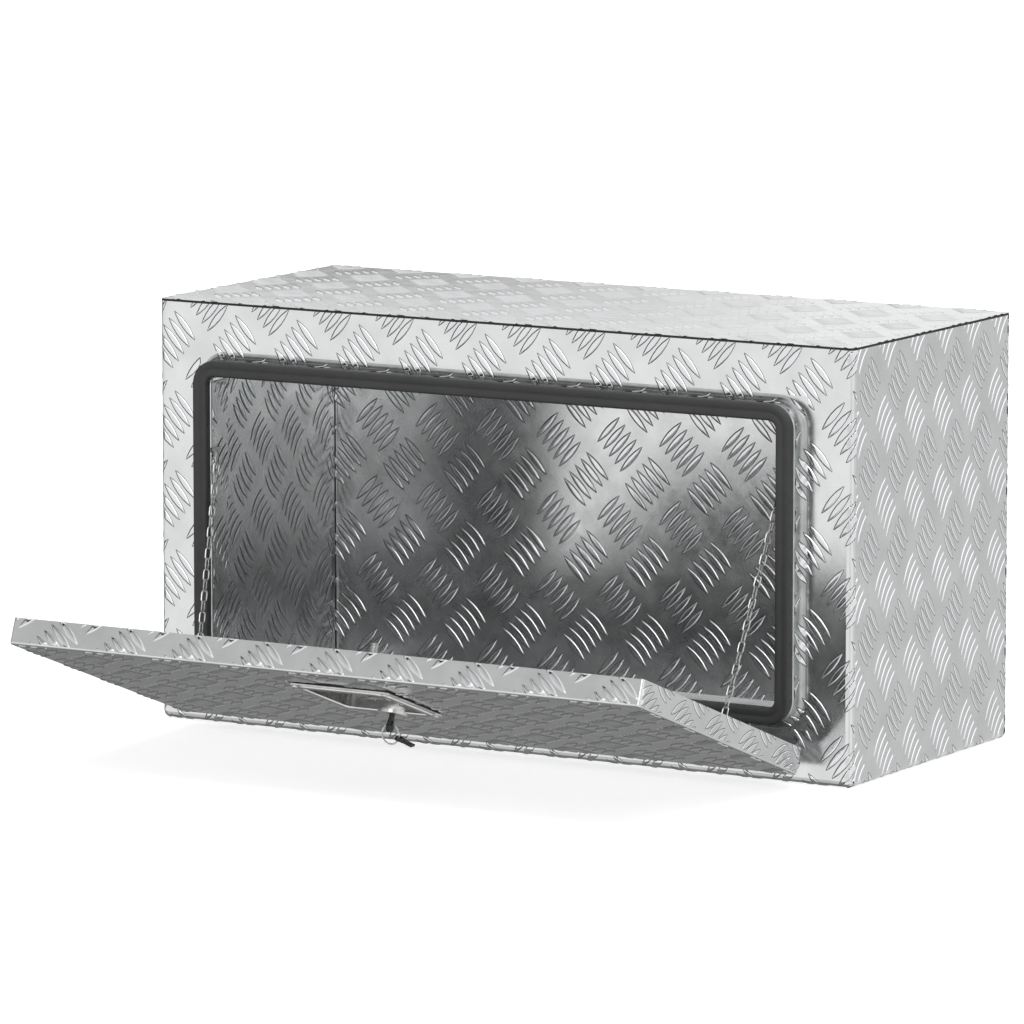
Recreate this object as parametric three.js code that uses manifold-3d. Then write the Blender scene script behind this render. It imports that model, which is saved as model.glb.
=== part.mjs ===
// Aluminium tread-plate tool box with a drop-down front door held by two chains.
// Units are millimetres. x runs to the right, y runs into the box, z runs up.
// The origin is the middle of the box's underside. The door is shown open.

import * as THREE from 'three';
import Module from 'manifold-3d';
import { mergeVertices } from 'three/addons/utils/BufferGeometryUtils.js';
import { RoundedBoxGeometry } from 'three/addons/geometries/RoundedBoxGeometry.js';

const wasm = await Module();
wasm.setup();

// Body
const bodyWidth = 762;
const bodyDepth = 320;
const bodyHeight = 412;
const sheet = 2;
const bodyCorner = 6;
const seam = 0.3;
const overrun = 5;

// Door frame: a channel that stands out of the front panel round the opening
const frameSideMargin = 53;
const frameTopMargin = 54;
const frameBottomMargin = 57;
const frameCorner = 24;
const frameRootBend = 6;
const frameLipBend = 3;
const frameStandOut = 16;
const frameLipWidth = 15.5;
const frameReturnDepth = 15;

// Rubber seal on the lip
const sealThickness = 8.7;
const sealRound = 2;

// Door pan
const doorSideOverhang = 11.6;
const doorTopOverhang = 6.5;
const doorBottomOverhang = 8.3;
const doorRimDepth = 26;
const doorRimGap = 2.8;
const doorBend = 2.5;
const doorOpenAngle = 69.9;

// Piano hinge
const hingeAxisOut = 3.2;
const hingeAxisDrop = 17.3;
const hingeLength = 640;
const hingeKnuckles = 20;
const hingeKnuckleRadius = 2.8;
const hingePinRadius = 1.2;
const hingeClearance = 0.3;
const hingeEndPlay = 0.5;
const hingeLeafThickness = 1.2;
const hingeLeafHeight = 19;
const hingeLipReach = 18;
const rivetRadius = 2.6;
const rivetHeight = 1.1;
const rivetCount = 9;
const rivetInset = 25;

// Latch dish
const latchSideOffset = -8;
const latchBelowDoorTop = 105.8;
const plateSize = 108;
const plateCorner = 5;
const plateThickness = 1.5;
const dishSize = 92;
const dishCorner = 8;
const dishDepth = 18.1;
const gasketThickness = 1;
const gasketInset = 1.5;
const fixingInset = 5.5;
const fixingRadius = 1.5;
const fixingHeadRadius = 3;
const fixingHeadHeight = 1.3;
const fit = 0.3;

// Handle spindle and its nuts
const spindleRadius = 4.5;
const yokeRadius = 10;
const yokeWall = 1.7;
const yokeTop = 0;
const spindleTip = 51;
const nutAcross = 15;
const nutHeight = 5;
const lowerCamNutStart = 24.7;

// Folding handle
const stemWidth = 8.4;
const stemThickness = 7;
const handlePinRadius = 1.5;
const crossbarOffset = 31;
const crossbarWidth = 12;
const crossbarLength = 40;
const crossbarThickness = 9;
const crossbarRound = 2;
const bossRadius = 11;
const bossStandOut = 9.5;

// Lock and keys
const barrelRadius = 8;
const lockDiscRadius = 14;
const lockDiscThickness = 3.4;
const plugRadius = 5;
const keySlotWidth = 2.8;
const keySlotLength = 8;
const keySlotDepth = 14;
const bladeThickness = 2;
const bladeWidth = 7;
const bladeLength = 9;
const bowWidth = 10.5;
const bowLength = 16.5;
const spareBowWidth = 9.5;
const spareBowLength = 11;
const bowThickness = 3;
const bowNeckWidth = 5;
const bowHoleRadius = 2.6;
const bowHoleInset = 8.5;
const spareHoleInset = 4.6;
const ringRadius = 9.2;
const ringWire = 0.8;
const spareKeyAngle = 20;

// Cam bar that catches behind the channel's back edge
const camWidth = 22;
const camThickness = 3;
const camReach = 96;
const camStraight = 45;
const camRamp = 22;
const camCatchGap = 1.5;

// Chains: a long upper run and a short lower run, with the links of each run joined
const upperLinks = 17;
const lowerLinks = 5;
const linkWidth = 7;
const linkWire = 1.5;
const linkFuse = 0.25;
const linkPlay = 0.4;
const anchorBelowFrameTop = 92;
const anchorOut = 11;
const anchorInset = 4.3;
const anchorRivetRadius = 1.2;
const anchorPlateThickness = 0.9;
const anchorHeadLength = 14.5;
const anchorHeadBack = 1.5;
const anchorHeadBottom = 1.5;
const anchorHeadHeight = 4.5;
const anchorStemWidth = 6;
const anchorStemDrop = 3.5;
const eyeAboveDoorBottom = 65.9;
const eyeStandOff = 13;
const eyeInset = 25.5;
const eyeWire = 1.8;
const eyeLoopWidth = 7.3;
const eyePlay = 0.35;
const eyeFootWidth = 14;
const eyeFootLength = 26;
const eyeFootThickness = 2;

// Places worked out from the sizes above
const frontY = -bodyDepth / 2;
const frameHalfWidth = bodyWidth / 2 - frameSideMargin;
const frameTopZ = bodyHeight - frameTopMargin;
const frameBottomZ = frameBottomMargin;
const frameMidZ = (frameTopZ + frameBottomZ) / 2;
const frameHalfHeight = (frameTopZ - frameBottomZ) / 2;
const innerHalfWidth = frameHalfWidth - frameLipWidth;
const doorHalfWidth = frameHalfWidth + doorSideOverhang;
const doorHeight = frameTopZ - frameBottomZ + doorTopOverhang + doorBottomOverhang;
const doorFaceOut = doorRimDepth + doorRimGap;
const hingeY = frontY - hingeAxisOut;
const hingeZ = frameBottomZ - doorBottomOverhang - hingeAxisDrop;
// In the door's own frame, whose origin is the hinge axis, with the door shut
const doorFaceY = hingeAxisOut - doorFaceOut;
const doorBottomZ = hingeAxisDrop;
const latchZ = doorBottomZ + doorHeight - latchBelowDoorTop;
const anchorHeight = frameTopZ - anchorBelowFrameTop;

// Materials
function metal(color, roughness) {
  return new THREE.MeshStandardMaterial({ color, roughness, metalness: 1, flatShading: true });
}
function plain(color, roughness) {
  return new THREE.MeshStandardMaterial({ color, roughness, metalness: 0, flatShading: true });
}
const treadPlate = metal(0xd4d6d8, 0.3);
const brushed = metal(0xc2c4c6, 0.35);
const stainless = metal(0xcfcfcd, 0.2);
const zinc = metal(0xd8d9d6, 0.28);
const darkSteel = metal(0x8b8b86, 0.4);
const rubber = plain(0x343536, 0.6);
const keyPlastic = plain(0x26282a, 0.45);

// Turns a closed geometry into a solid that can be joined and cut
function solid(geometry) {
  const bare = geometry.clone();
  bare.deleteAttribute('normal');
  bare.deleteAttribute('uv');
  const merged = mergeVertices(bare);
  const mesh = new wasm.Mesh({
    numProp: 3,
    vertProperties: new Float32Array(merged.attributes.position.array),
    triVerts: new Uint32Array(merged.index.array),
  });
  return new wasm.Manifold(mesh);
}

// Turns a solid back into a geometry
function geometryOf(body) {
  const mesh = body.getMesh();
  const geometry = new THREE.BufferGeometry();
  geometry.setAttribute('position', new THREE.BufferAttribute(new Float32Array(mesh.vertProperties), 3));
  geometry.setIndex(new THREE.BufferAttribute(new Uint32Array(mesh.triVerts), 1));
  geometry.computeVertexNormals();
  return geometry;
}

function named(name, body, material) {
  const mesh = new THREE.Mesh(geometryOf(body), material);
  mesh.name = name;
  return mesh;
}

// A block between two corners
function block(x0, x1, y0, y1, z0, z1) {
  const geometry = new THREE.BoxGeometry(x1 - x0, y1 - y0, z1 - z0);
  geometry.translate((x0 + x1) / 2, (y0 + y1) / 2, (z0 + z1) / 2);
  return solid(geometry);
}

// A round bar whose axis runs along y, from y0 to y1
function barY(radius, y0, y1, x, z, sides) {
  const geometry = new THREE.CylinderGeometry(radius, radius, y1 - y0, sides);
  geometry.translate(x, (y0 + y1) / 2, z);
  return solid(geometry);
}

// A round bar whose axis runs along x, from x0 to x1
function barX(radius, x0, x1, y, z, sides) {
  const geometry = new THREE.CylinderGeometry(radius, radius, x1 - x0, sides);
  geometry.rotateZ(Math.PI / 2);
  geometry.translate((x0 + x1) / 2, y, z);
  return solid(geometry);
}

// A round bar whose axis runs along z, from z0 to z1
function barZ(radius, z0, z1, x, y, sides) {
  const geometry = new THREE.CylinderGeometry(radius, radius, z1 - z0, sides);
  geometry.rotateX(Math.PI / 2);
  geometry.translate(x, y, (z0 + z1) / 2);
  return solid(geometry);
}

// A rounded rectangle in x and z, centred at (x, z)
function roundedShape(halfWidth, halfHeight, radius, x = 0, z = 0) {
  const shape = new THREE.Shape();
  const right = halfWidth - radius;
  const top = halfHeight - radius;
  shape.absarc(x + right, z + top, radius, 0, Math.PI / 2);
  shape.absarc(x - right, z + top, radius, Math.PI / 2, Math.PI);
  shape.absarc(x - right, z - top, radius, Math.PI, (3 * Math.PI) / 2);
  shape.absarc(x + right, z - top, radius, (3 * Math.PI) / 2, 2 * Math.PI);
  return shape;
}

// Extrudes a shape drawn in x and z from y0 to y1
function slabY(shape, y0, y1, curveSegments = 5) {
  const geometry = new THREE.ExtrudeGeometry(shape, {
    depth: y1 - y0, bevelEnabled: false, curveSegments,
  });
  geometry.rotateX(Math.PI / 2);
  geometry.translate(0, y1, 0);
  return solid(geometry);
}

// Extrudes a shape drawn in x and y from z0 to z1
function slabZ(shape, z0, z1, curveSegments = 5) {
  const geometry = new THREE.ExtrudeGeometry(shape, {
    depth: z1 - z0, bevelEnabled: false, curveSegments,
  });
  geometry.translate(0, 0, z0);
  return solid(geometry);
}

// Extrudes an outline of [y, z] points from x0 to x1
function slabX(points, x0, x1) {
  const shape = new THREE.Shape(points.map(([y, z]) => new THREE.Vector2(y, z)));
  const geometry = new THREE.ExtrudeGeometry(shape, { depth: x1 - x0, bevelEnabled: false });
  geometry.rotateZ(Math.PI / 2);
  geometry.rotateY(Math.PI / 2);
  geometry.translate(x0, 0, 0);
  return solid(geometry);
}

// Joins rings of points into a closed tube that bites its own tail
function loopSolid(rings) {
  const count = rings.length;
  const around = rings[0].length;
  const positions = rings.flat(2);
  const triangles = [];
  for (let i = 0; i < count; i++) {
    for (let j = 0; j < around; j++) {
      const a = i * around + j;
      const b = i * around + ((j + 1) % around);
      const c = ((i + 1) % count) * around + ((j + 1) % around);
      const d = ((i + 1) % count) * around + j;
      triangles.push([a, b, c], [a, c, d]);
    }
  }
  const point = (k) => new THREE.Vector3().fromArray(positions, 3 * k);
  const volume = triangles.reduce((sum, [a, b, c]) => {
    return sum + point(a).dot(point(b).cross(point(c)));
  }, 0);
  const index = triangles.flatMap(([a, b, c]) => (volume > 0 ? [a, b, c] : [a, c, b]));
  const mesh = new wasm.Mesh({
    numProp: 3,
    vertProperties: new Float32Array(positions),
    triVerts: new Uint32Array(index),
  });
  return new wasm.Manifold(mesh);
}

// Sweeps a profile of [offset, y] points round a rounded rectangle in x and z
function sweepRound(profile, halfWidth, halfHeight, radius, midZ, steps = 6) {
  const rings = [];
  const corners = [[1, 1], [-1, 1], [-1, -1], [1, -1]];
  corners.forEach(([signX, signZ], quarter) => {
    for (let step = 0; step <= steps; step++) {
      const angle = ((quarter + step / steps) * Math.PI) / 2;
      const ring = profile.map(([offset, y]) => [
        signX * (halfWidth - radius) + (radius + offset) * Math.cos(angle),
        y,
        midZ + signZ * (halfHeight - radius) + (radius + offset) * Math.sin(angle),
      ]);
      rings.push(ring);
    }
  });
  return loopSolid(rings);
}

// Points of an arc in [offset, y], from one angle to the other in degrees
function arc(centre, radius, from, to, steps = 3) {
  const points = [];
  for (let step = 0; step <= steps; step++) {
    const angle = THREE.MathUtils.degToRad(from + ((to - from) * step) / steps);
    points.push([centre[0] + radius * Math.cos(angle), centre[1] + radius * Math.sin(angle)]);
  }
  return points;
}

// The folded sheet of the body as one shell, from which the panels are cut
function bodyShell() {
  const tall = bodyHeight + 2 * bodyCorner;
  const outer = new RoundedBoxGeometry(bodyWidth, bodyDepth, tall, 2, bodyCorner);
  outer.translate(0, 0, tall / 2);
  const inner = new RoundedBoxGeometry(
    bodyWidth - 2 * sheet, bodyDepth - 2 * sheet, tall, 2, bodyCorner - sheet);
  inner.translate(0, 0, tall / 2 + sheet);
  return solid(outer).subtract(solid(inner));
}

// The part of the shell inside a block
function cutShell(shell, x0, x1, y0, y1, z0, z1) {
  return shell.intersect(block(x0, x1, y0, y1, z0, z1));
}

// The channel round the opening: out from the panel, in over the lip, and back
function doorFrame() {
  const lipY = frontY - frameStandOut;
  const rootY = frontY - frameRootBend;
  const innerBend = frameLipBend - sheet;
  const profile = [
    ...arc([frameRootBend, rootY], frameRootBend, 90, 180),
    ...arc([-frameLipBend, lipY + frameLipBend], frameLipBend, 0, -90),
    ...arc([-frameLipWidth + frameLipBend, lipY + frameLipBend], frameLipBend, -90, -180),
    [-frameLipWidth, frontY + frameReturnDepth],
    [-frameLipWidth + sheet, frontY + frameReturnDepth],
    ...arc([-frameLipWidth + frameLipBend, lipY + frameLipBend], innerBend, 180, 270),
    ...arc([-frameLipBend, lipY + frameLipBend], innerBend, 270, 360),
    ...arc([frameRootBend, rootY], frameRootBend + sheet, 180, 90),
  ];
  return sweepRound(profile, frameHalfWidth, frameHalfHeight, frameCorner, frameMidZ);
}

function frontPanel(shell) {
  const half = bodyWidth / 2 + overrun;
  const skin = cutShell(
    shell, -half, half, frontY - overrun, frontY + bodyCorner,
    bodyCorner + seam, bodyHeight - sheet - seam);
  const edge = frameRootBend + seam;
  const cut = roundedShape(
    frameHalfWidth + edge, frameHalfHeight + edge, frameCorner + edge, 0, frameMidZ);
  const hole = slabY(cut, frontY - overrun, frontY + bodyCorner, 6);
  return skin.subtract(hole);
}

function sidePanel(shell, sign) {
  const near = bodyWidth / 2 - bodyCorner;
  const far = bodyWidth / 2 + overrun;
  return cutShell(
    shell, Math.min(sign * near, sign * far), Math.max(sign * near, sign * far),
    frontY + bodyCorner + seam, -frontY - bodyCorner - seam,
    bodyCorner + seam, bodyHeight - sheet - seam);
}

function backPanel(shell) {
  const half = bodyWidth / 2 + overrun;
  return cutShell(
    shell, -half, half, -frontY - bodyCorner, -frontY + overrun,
    bodyCorner + seam, bodyHeight - sheet - seam);
}

function bottomPanel(shell) {
  const half = bodyWidth / 2 + overrun;
  return cutShell(shell, -half, half, frontY - overrun, -frontY + overrun, -overrun, bodyCorner);
}

function topPanel() {
  const outline = roundedShape(bodyWidth / 2, bodyDepth / 2, bodyCorner);
  return slabZ(outline, bodyHeight - sheet, bodyHeight, 3);
}

// The seal lies on the lip, as wide as the lip, with its outer edges rounded
function doorSeal() {
  const back = frontY - frameStandOut - fit;
  const front = back - sealThickness;
  const profile = [
    [0, back],
    ...arc([-sealRound, front + sealRound], sealRound, 0, -90),
    ...arc([-frameLipWidth + sealRound, front + sealRound], sealRound, -90, -180),
    [-frameLipWidth, back],
  ];
  return sweepRound(profile, frameHalfWidth, frameHalfHeight, frameCorner, frameMidZ);
}

// The seal is laid in four lengths that meet just short of the corners. The ones above
// and below are straight, and the ones at the sides turn both corners.
const sealJoint = frameHalfWidth - frameCorner - fit;

function sealAcross(seal, sign) {
  const near = frameMidZ;
  const far = frameMidZ + sign * (frameHalfHeight + overrun);
  return seal.intersect(block(
    -sealJoint + seam, sealJoint - seam, frontY - frameStandOut - sealThickness - overrun, frontY,
    Math.min(near, far), Math.max(near, far)));
}

function sealAtSide(seal, sign) {
  const near = sign * sealJoint;
  const far = sign * (frameHalfWidth + overrun);
  return seal.intersect(block(
    Math.min(near, far), Math.max(near, far), frontY - frameStandOut - sealThickness - overrun, frontY,
    frameMidZ - frameHalfHeight - overrun, frameMidZ + frameHalfHeight + overrun));
}

// The door pan in the door's frame: a face with a rim turned in all round
function doorPan() {
  const depth = 2 * doorRimDepth;
  const outer = new RoundedBoxGeometry(2 * doorHalfWidth, depth, doorHeight, 2, doorBend);
  outer.translate(0, doorFaceY + depth / 2, doorBottomZ + doorHeight / 2);
  const hollow = block(
    -doorHalfWidth + sheet, doorHalfWidth - sheet, doorFaceY + sheet, doorFaceY + depth,
    doorBottomZ + sheet, doorBottomZ + doorHeight - sheet);
  const behind = block(
    -doorHalfWidth - overrun, doorHalfWidth + overrun, doorFaceY + doorRimDepth,
    doorFaceY + depth + overrun, doorBottomZ - overrun, doorBottomZ + doorHeight + overrun);
  const halfHole = dishSize / 2 + plateThickness + 2 * fit;
  const latchHole = slabY(
    roundedShape(halfHole, halfHole, dishCorner + plateThickness + fit, latchSideOffset, latchZ),
    doorFaceY - overrun, doorFaceY + doorRimDepth);
  let pan = solid(outer).subtract(hollow).subtract(behind).subtract(latchHole);
  for (const [x, z] of fixingPlaces()) {
    const bore = barY(
      fixingRadius + fit, doorFaceY - overrun, doorFaceY + doorRimDepth,
      latchSideOffset + x, latchZ + z, 10);
    pan = pan.subtract(bore);
  }
  return pan;
}

// Places of the four latch fixings, from the latch's middle
function fixingPlaces() {
  const reach = plateSize / 2 - fixingInset;
  return [[-reach, reach], [reach, reach], [-reach, -reach], [reach, -reach]];
}

// Runs along the hinge: every second knuckle belongs to the same leaf
function knuckleSpans(first) {
  const pitch = hingeLength / hingeKnuckles;
  const spans = [];
  for (let k = first; k < hingeKnuckles; k += 2) {
    const start = -hingeLength / 2 + k * pitch;
    spans.push([start + hingeEndPlay / 2, start + pitch - hingeEndPlay / 2]);
  }
  return spans;
}

// A leaf is a plate with knuckles, drawn with the hinge axis at the origin
function leafWithKnuckles(plates, tongue, first) {
  const half = hingeLength / 2;
  let leaf = plates.map((outline) => slabX(outline, -half, half)).reduce((a, b) => a.add(b));
  for (const [x0, x1] of knuckleSpans(first)) {
    leaf = leaf.add(barX(hingeKnuckleRadius, x0, x1, 0, 0, 12)).add(slabX(tongue, x0, x1));
  }
  const bore = barX(hingePinRadius + hingeClearance, -half - overrun, half + overrun, 0, 0, 8);
  return leaf.subtract(bore);
}

// A rectangle as an outline of [y, z] points
function rectangle(y0, y1, z0, z1) {
  return [[y0, z0], [y1, z0], [y1, z1], [y0, z1]];
}

function rivetSpots() {
  const reach = hingeLength / 2 - rivetInset;
  return Array.from({ length: rivetCount }, (_, k) => -reach + (2 * reach * k) / (rivetCount - 1));
}

const leafBack = hingeAxisOut - hingeClearance;
const leafFront = leafBack - hingeLeafThickness;
const knuckleRelief = hingeKnuckleRadius + hingeEndPlay;

function hingeBodyLeaf() {
  const plate = rectangle(leafFront, leafBack, -hingeLeafHeight, -knuckleRelief);
  const tongue = rectangle(leafFront, hingeKnuckleRadius, -knuckleRelief - seam, 0);
  let leaf = leafWithKnuckles([plate], tongue, 0);
  const rivetZ = -(hingeLeafHeight + knuckleRelief) / 2;
  for (const x of rivetSpots()) {
    leaf = leaf.add(barY(rivetRadius, leafFront - rivetHeight, leafFront + seam, x, rivetZ, 8));
  }
  return leaf;
}

// The door leaf stands up from the axis and turns forward under the door's rim
function hingeDoorLeaf() {
  const lipTop = doorBottomZ - fit;
  const lipBottom = lipTop - hingeLeafThickness;
  const plateFront = hingeKnuckleRadius - hingeLeafThickness;
  const plate = rectangle(plateFront, hingeKnuckleRadius, knuckleRelief, lipTop);
  const lip = rectangle(hingeKnuckleRadius - hingeLipReach, hingeKnuckleRadius, lipBottom, lipTop);
  const tongue = rectangle(plateFront, hingeKnuckleRadius, 0, knuckleRelief + seam);
  let leaf = leafWithKnuckles([plate, lip], tongue, 1);
  const rivetY = hingeKnuckleRadius - hingeLipReach / 2;
  for (const x of rivetSpots()) {
    leaf = leaf.add(barZ(rivetRadius, lipBottom - rivetHeight, lipBottom + seam, x, rivetY, 8));
  }
  return leaf;
}

function hingePin() {
  return barX(hingePinRadius, -hingeLength / 2, hingeLength / 2, 0, 0, 8);
}

// The latch is drawn from the middle of its hole in the door face, y into the box
const gasketFront = -fit - gasketThickness;
const plateBack = gasketFront - fit;
const plateFront = plateBack - plateThickness;
const dishFloor = plateFront + dishDepth + plateThickness;
const dishBack = dishFloor + plateThickness;

function latchGasket() {
  const outer = roundedShape(plateSize / 2 - gasketInset, plateSize / 2 - gasketInset, plateCorner);
  const half = dishSize / 2 + plateThickness + 2 * fit;
  const inner = roundedShape(half, half, dishCorner + plateThickness + fit);
  let ring = slabY(outer, gasketFront, -fit).subtract(slabY(inner, gasketFront - overrun, overrun));
  for (const [x, z] of fixingPlaces()) {
    ring = ring.subtract(barY(fixingRadius + fit, gasketFront - overrun, overrun, x, z, 10));
  }
  return ring;
}

function latchDish() {
  const half = dishSize / 2;
  const flange = slabY(roundedShape(plateSize / 2, plateSize / 2, plateCorner), plateFront, plateBack);
  const wall = half + plateThickness;
  const tub = slabY(roundedShape(wall, wall, dishCorner + plateThickness), plateFront, dishBack);
  const hollow = slabY(roundedShape(half, half, dishCorner), plateFront - overrun, dishFloor);
  const bore = barY(spindleRadius + fit, dishFloor - overrun, dishBack + overrun, 0, 0, 16);
  let dish = flange.add(tub).subtract(hollow).subtract(bore);
  for (const [x, z] of fixingPlaces()) {
    dish = dish.subtract(barY(fixingRadius + fit, plateFront - overrun, overrun, x, z, 10));
  }
  return dish;
}

// A rivet clamps plate, gasket and door face: head outside, tail inside
function latchRivet() {
  const headBack = plateFront - fit;
  const tailFront = sheet + fit;
  const shank = barY(fixingRadius, headBack - seam, tailFront + seam, 0, 0, 10);
  const head = barY(fixingHeadRadius, headBack - fixingHeadHeight, headBack, 0, 0, 12);
  const tail = barY(fixingHeadRadius, tailFront, tailFront + fixingHeadHeight, 0, 0, 12);
  return shank.add(head).add(tail);
}

const pivotY = yokeTop + stemThickness / 2 + fit;
const yokeEnd = dishFloor - fit;
const slotBottom = Math.min(pivotY + stemThickness / 2 + fit, yokeEnd - yokeWall);

function handleSpindle() {
  const yoke = barY(yokeRadius, yokeTop, yokeEnd, 0, 0, 20);
  const shaft = barY(spindleRadius, yokeEnd - yokeWall, spindleTip, 0, 0, 16);
  const halfSlot = stemWidth / 2 + fit;
  const slot = block(-yokeRadius - overrun, yokeRadius + overrun,
    yokeTop - overrun, slotBottom, -halfSlot, halfSlot);
  const pinBore = barZ(handlePinRadius + fit, -yokeRadius - overrun, yokeRadius + overrun, 0, pivotY, 10);
  return yoke.subtract(slot).subtract(pinBore).add(shaft);
}

function handlePin() {
  return barZ(handlePinRadius, -yokeRadius, yokeRadius, 0, pivotY, 10);
}

// The folding handle lies along +x: a stem from the yoke, a crossbar and the lock's boss
function foldingHandle() {
  const stemTop = pivotY - stemThickness / 2;
  const stemBack = pivotY + stemThickness / 2;
  const knuckle = barZ(stemThickness / 2, -stemWidth / 2, stemWidth / 2, 0, pivotY, 16);
  const stem = block(0, crossbarOffset, stemTop, stemBack, -stemWidth / 2, stemWidth / 2);
  const bar = new RoundedBoxGeometry(
    crossbarWidth, crossbarThickness, crossbarLength, 2, crossbarRound);
  const barBack = stemBack + (crossbarThickness - stemThickness) / 2 - fit;
  bar.translate(crossbarOffset, barBack - crossbarThickness / 2, 0);
  const boss = barY(bossRadius, -bossStandOut, barBack, crossbarOffset, 0, 20);
  const bore = barY(barrelRadius + fit, -bossStandOut - overrun, barBack + overrun, crossbarOffset, 0, 18);
  const pinBore = barZ(handlePinRadius + fit, -stemWidth, stemWidth, 0, pivotY, 10);
  return knuckle.add(stem).add(solid(bar)).add(boss).subtract(bore).subtract(pinBore);
}

const discBack = -bossStandOut - fit;
const discFront = discBack - lockDiscThickness;

// The lock's barrel sits in the boss, with its disc over the boss's end
function lockCylinder() {
  const barrelBack = pivotY + stemThickness / 2;
  const barrel = barY(barrelRadius, discBack - seam, barrelBack, crossbarOffset, 0, 18);
  const disc = barY(lockDiscRadius, discFront, discBack, crossbarOffset, 0, 24);
  const bore = barY(plugRadius + fit, discFront - overrun, barrelBack + overrun, crossbarOffset, 0, 18);
  return barrel.add(disc).subtract(bore);
}

// The plug turns in the barrel and is slotted for the key
function lockPlug() {
  const plug = barY(plugRadius, discFront, pivotY + stemThickness / 2, crossbarOffset, 0, 18);
  const slot = block(
    crossbarOffset - keySlotWidth / 2, crossbarOffset + keySlotWidth / 2,
    discFront - overrun, discFront + keySlotDepth, -keySlotLength / 2, keySlotLength / 2);
  return plug.subtract(slot);
}

// A key drawn with its shoulder at y 0, blade towards +y, bow towards -y, thin along x
function keyBody(blade, width, length, inset) {
  const shoulder = bowNeckWidth / 2;
  const outline = new THREE.Shape();
  const wide = width / 2;
  const middle = wide - length;
  outline.moveTo(-shoulder, 0);
  outline.lineTo(shoulder, 0);
  outline.quadraticCurveTo(shoulder, middle / 2, wide, middle);
  outline.absarc(0, middle, wide, 0, -Math.PI, true);
  outline.quadraticCurveTo(-shoulder, middle / 2, -shoulder, 0);
  const hole = new THREE.Path();
  hole.absarc(0, inset - length, bowHoleRadius, 0, 2 * Math.PI);
  outline.holes.push(hole);
  const bow = new THREE.ExtrudeGeometry(outline, {
    depth: bowThickness, bevelEnabled: false, curveSegments: 6,
  });
  bow.translate(0, 0, -bowThickness / 2);
  bow.rotateY(Math.PI / 2);
  const shaft = block(-bladeThickness / 2, bladeThickness / 2, -seam, blade, -bladeWidth / 2, bladeWidth / 2);
  return solid(bow).add(shaft);
}

// A hexagon nut round the spindle
function nut(y0) {
  const acrossCorners = nutAcross / Math.sqrt(3);
  const hex = barY(acrossCorners, y0, y0 + nutHeight, 0, 0, 6);
  return hex.subtract(barY(spindleRadius + fit, y0 - overrun, y0 + nutHeight + overrun, 0, 0, 16));
}

const camHubFront = lowerCamNutStart + nutHeight + fit;
const camTipFront = doorFaceOut + frameReturnDepth + camCatchGap;

// The cam bar points down from the spindle and steps in towards its tip
function camBar() {
  const halfWidth = camWidth / 2;
  const rampEnd = -camStraight - camRamp;
  const side = [
    [camHubFront, 0], [camHubFront, -camStraight], [camTipFront, rampEnd], [camTipFront, -camReach],
    [camTipFront + camThickness, -camReach], [camTipFront + camThickness, rampEnd],
    [camHubFront + camThickness, -camStraight], [camHubFront + camThickness, 0],
  ];
  const hub = barY(halfWidth, camHubFront, camHubFront + camThickness, 0, 0, 20);
  const bore = barY(spindleRadius + fit, camHubFront - overrun, camHubFront + overrun, 0, 0, 16);
  return slabX(side, -halfWidth, halfWidth).add(hub).subtract(bore);
}

// A loop of round wire about the origin, long along z, flat in the plane of x and z
function wireLoop(length, width, wire) {
  const bend = (width - wire) / 2;
  const straight = length / 2 - width / 2;
  const sides = 5;
  const steps = 5;
  const rings = [];
  for (const end of [1, -1]) {
    for (let step = 0; step <= steps; step++) {
      const angle = (end > 0 ? 0 : Math.PI) + (Math.PI * step) / steps;
      const ring = [];
      for (let side = 0; side < sides; side++) {
        const turn = (2 * Math.PI * side) / sides;
        const reach = bend + (wire / 2) * Math.cos(turn);
        ring.push([
          reach * Math.cos(angle),
          (wire / 2) * Math.sin(turn),
          end * straight + reach * Math.sin(angle),
        ]);
      }
      rings.push(ring);
    }
  }
  return loopSolid(rings);
}

// The points a chain hangs between, in the frame of the whole box with the door open
function chainEnds(sign) {
  const top = new THREE.Vector3(sign * (innerHalfWidth - anchorInset), frontY - anchorOut, anchorHeight);
  const eyeY = doorFaceY + sheet + eyeStandOff;
  const eyeZ = doorBottomZ + eyeAboveDoorBottom;
  const bottom = new THREE.Vector3(sign * (innerHalfWidth - eyeInset), eyeY, eyeZ);
  bottom.applyAxisAngle(new THREE.Vector3(1, 0, 0), THREE.MathUtils.degToRad(doorOpenAngle));
  bottom.add(new THREE.Vector3(0, hingeY, hingeZ));
  return [top, bottom];
}

// Half the distance between a link's two bends, so that both runs fill the span
function linkHalf(span) {
  const links = upperLinks + lowerLinks;
  const rivetReach = anchorRivetRadius + linkWire / 2;
  const lost = (links - 2) * (linkWire - linkFuse) + linkWire + linkPlay;
  return (span + rivetReach + lost) / (2 * links);
}

// Distance of a link's centre from the top rivet
function linkPlace(half, k) {
  const rivetReach = anchorRivetRadius + linkWire / 2;
  const pitch = 2 * half - linkWire + linkFuse;
  const loosePitch = 2 * half - linkWire - linkPlay;
  const steps = k < upperLinks ? k * pitch : (k - 1) * pitch + loosePitch;
  return half - rivetReach + steps;
}

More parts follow.
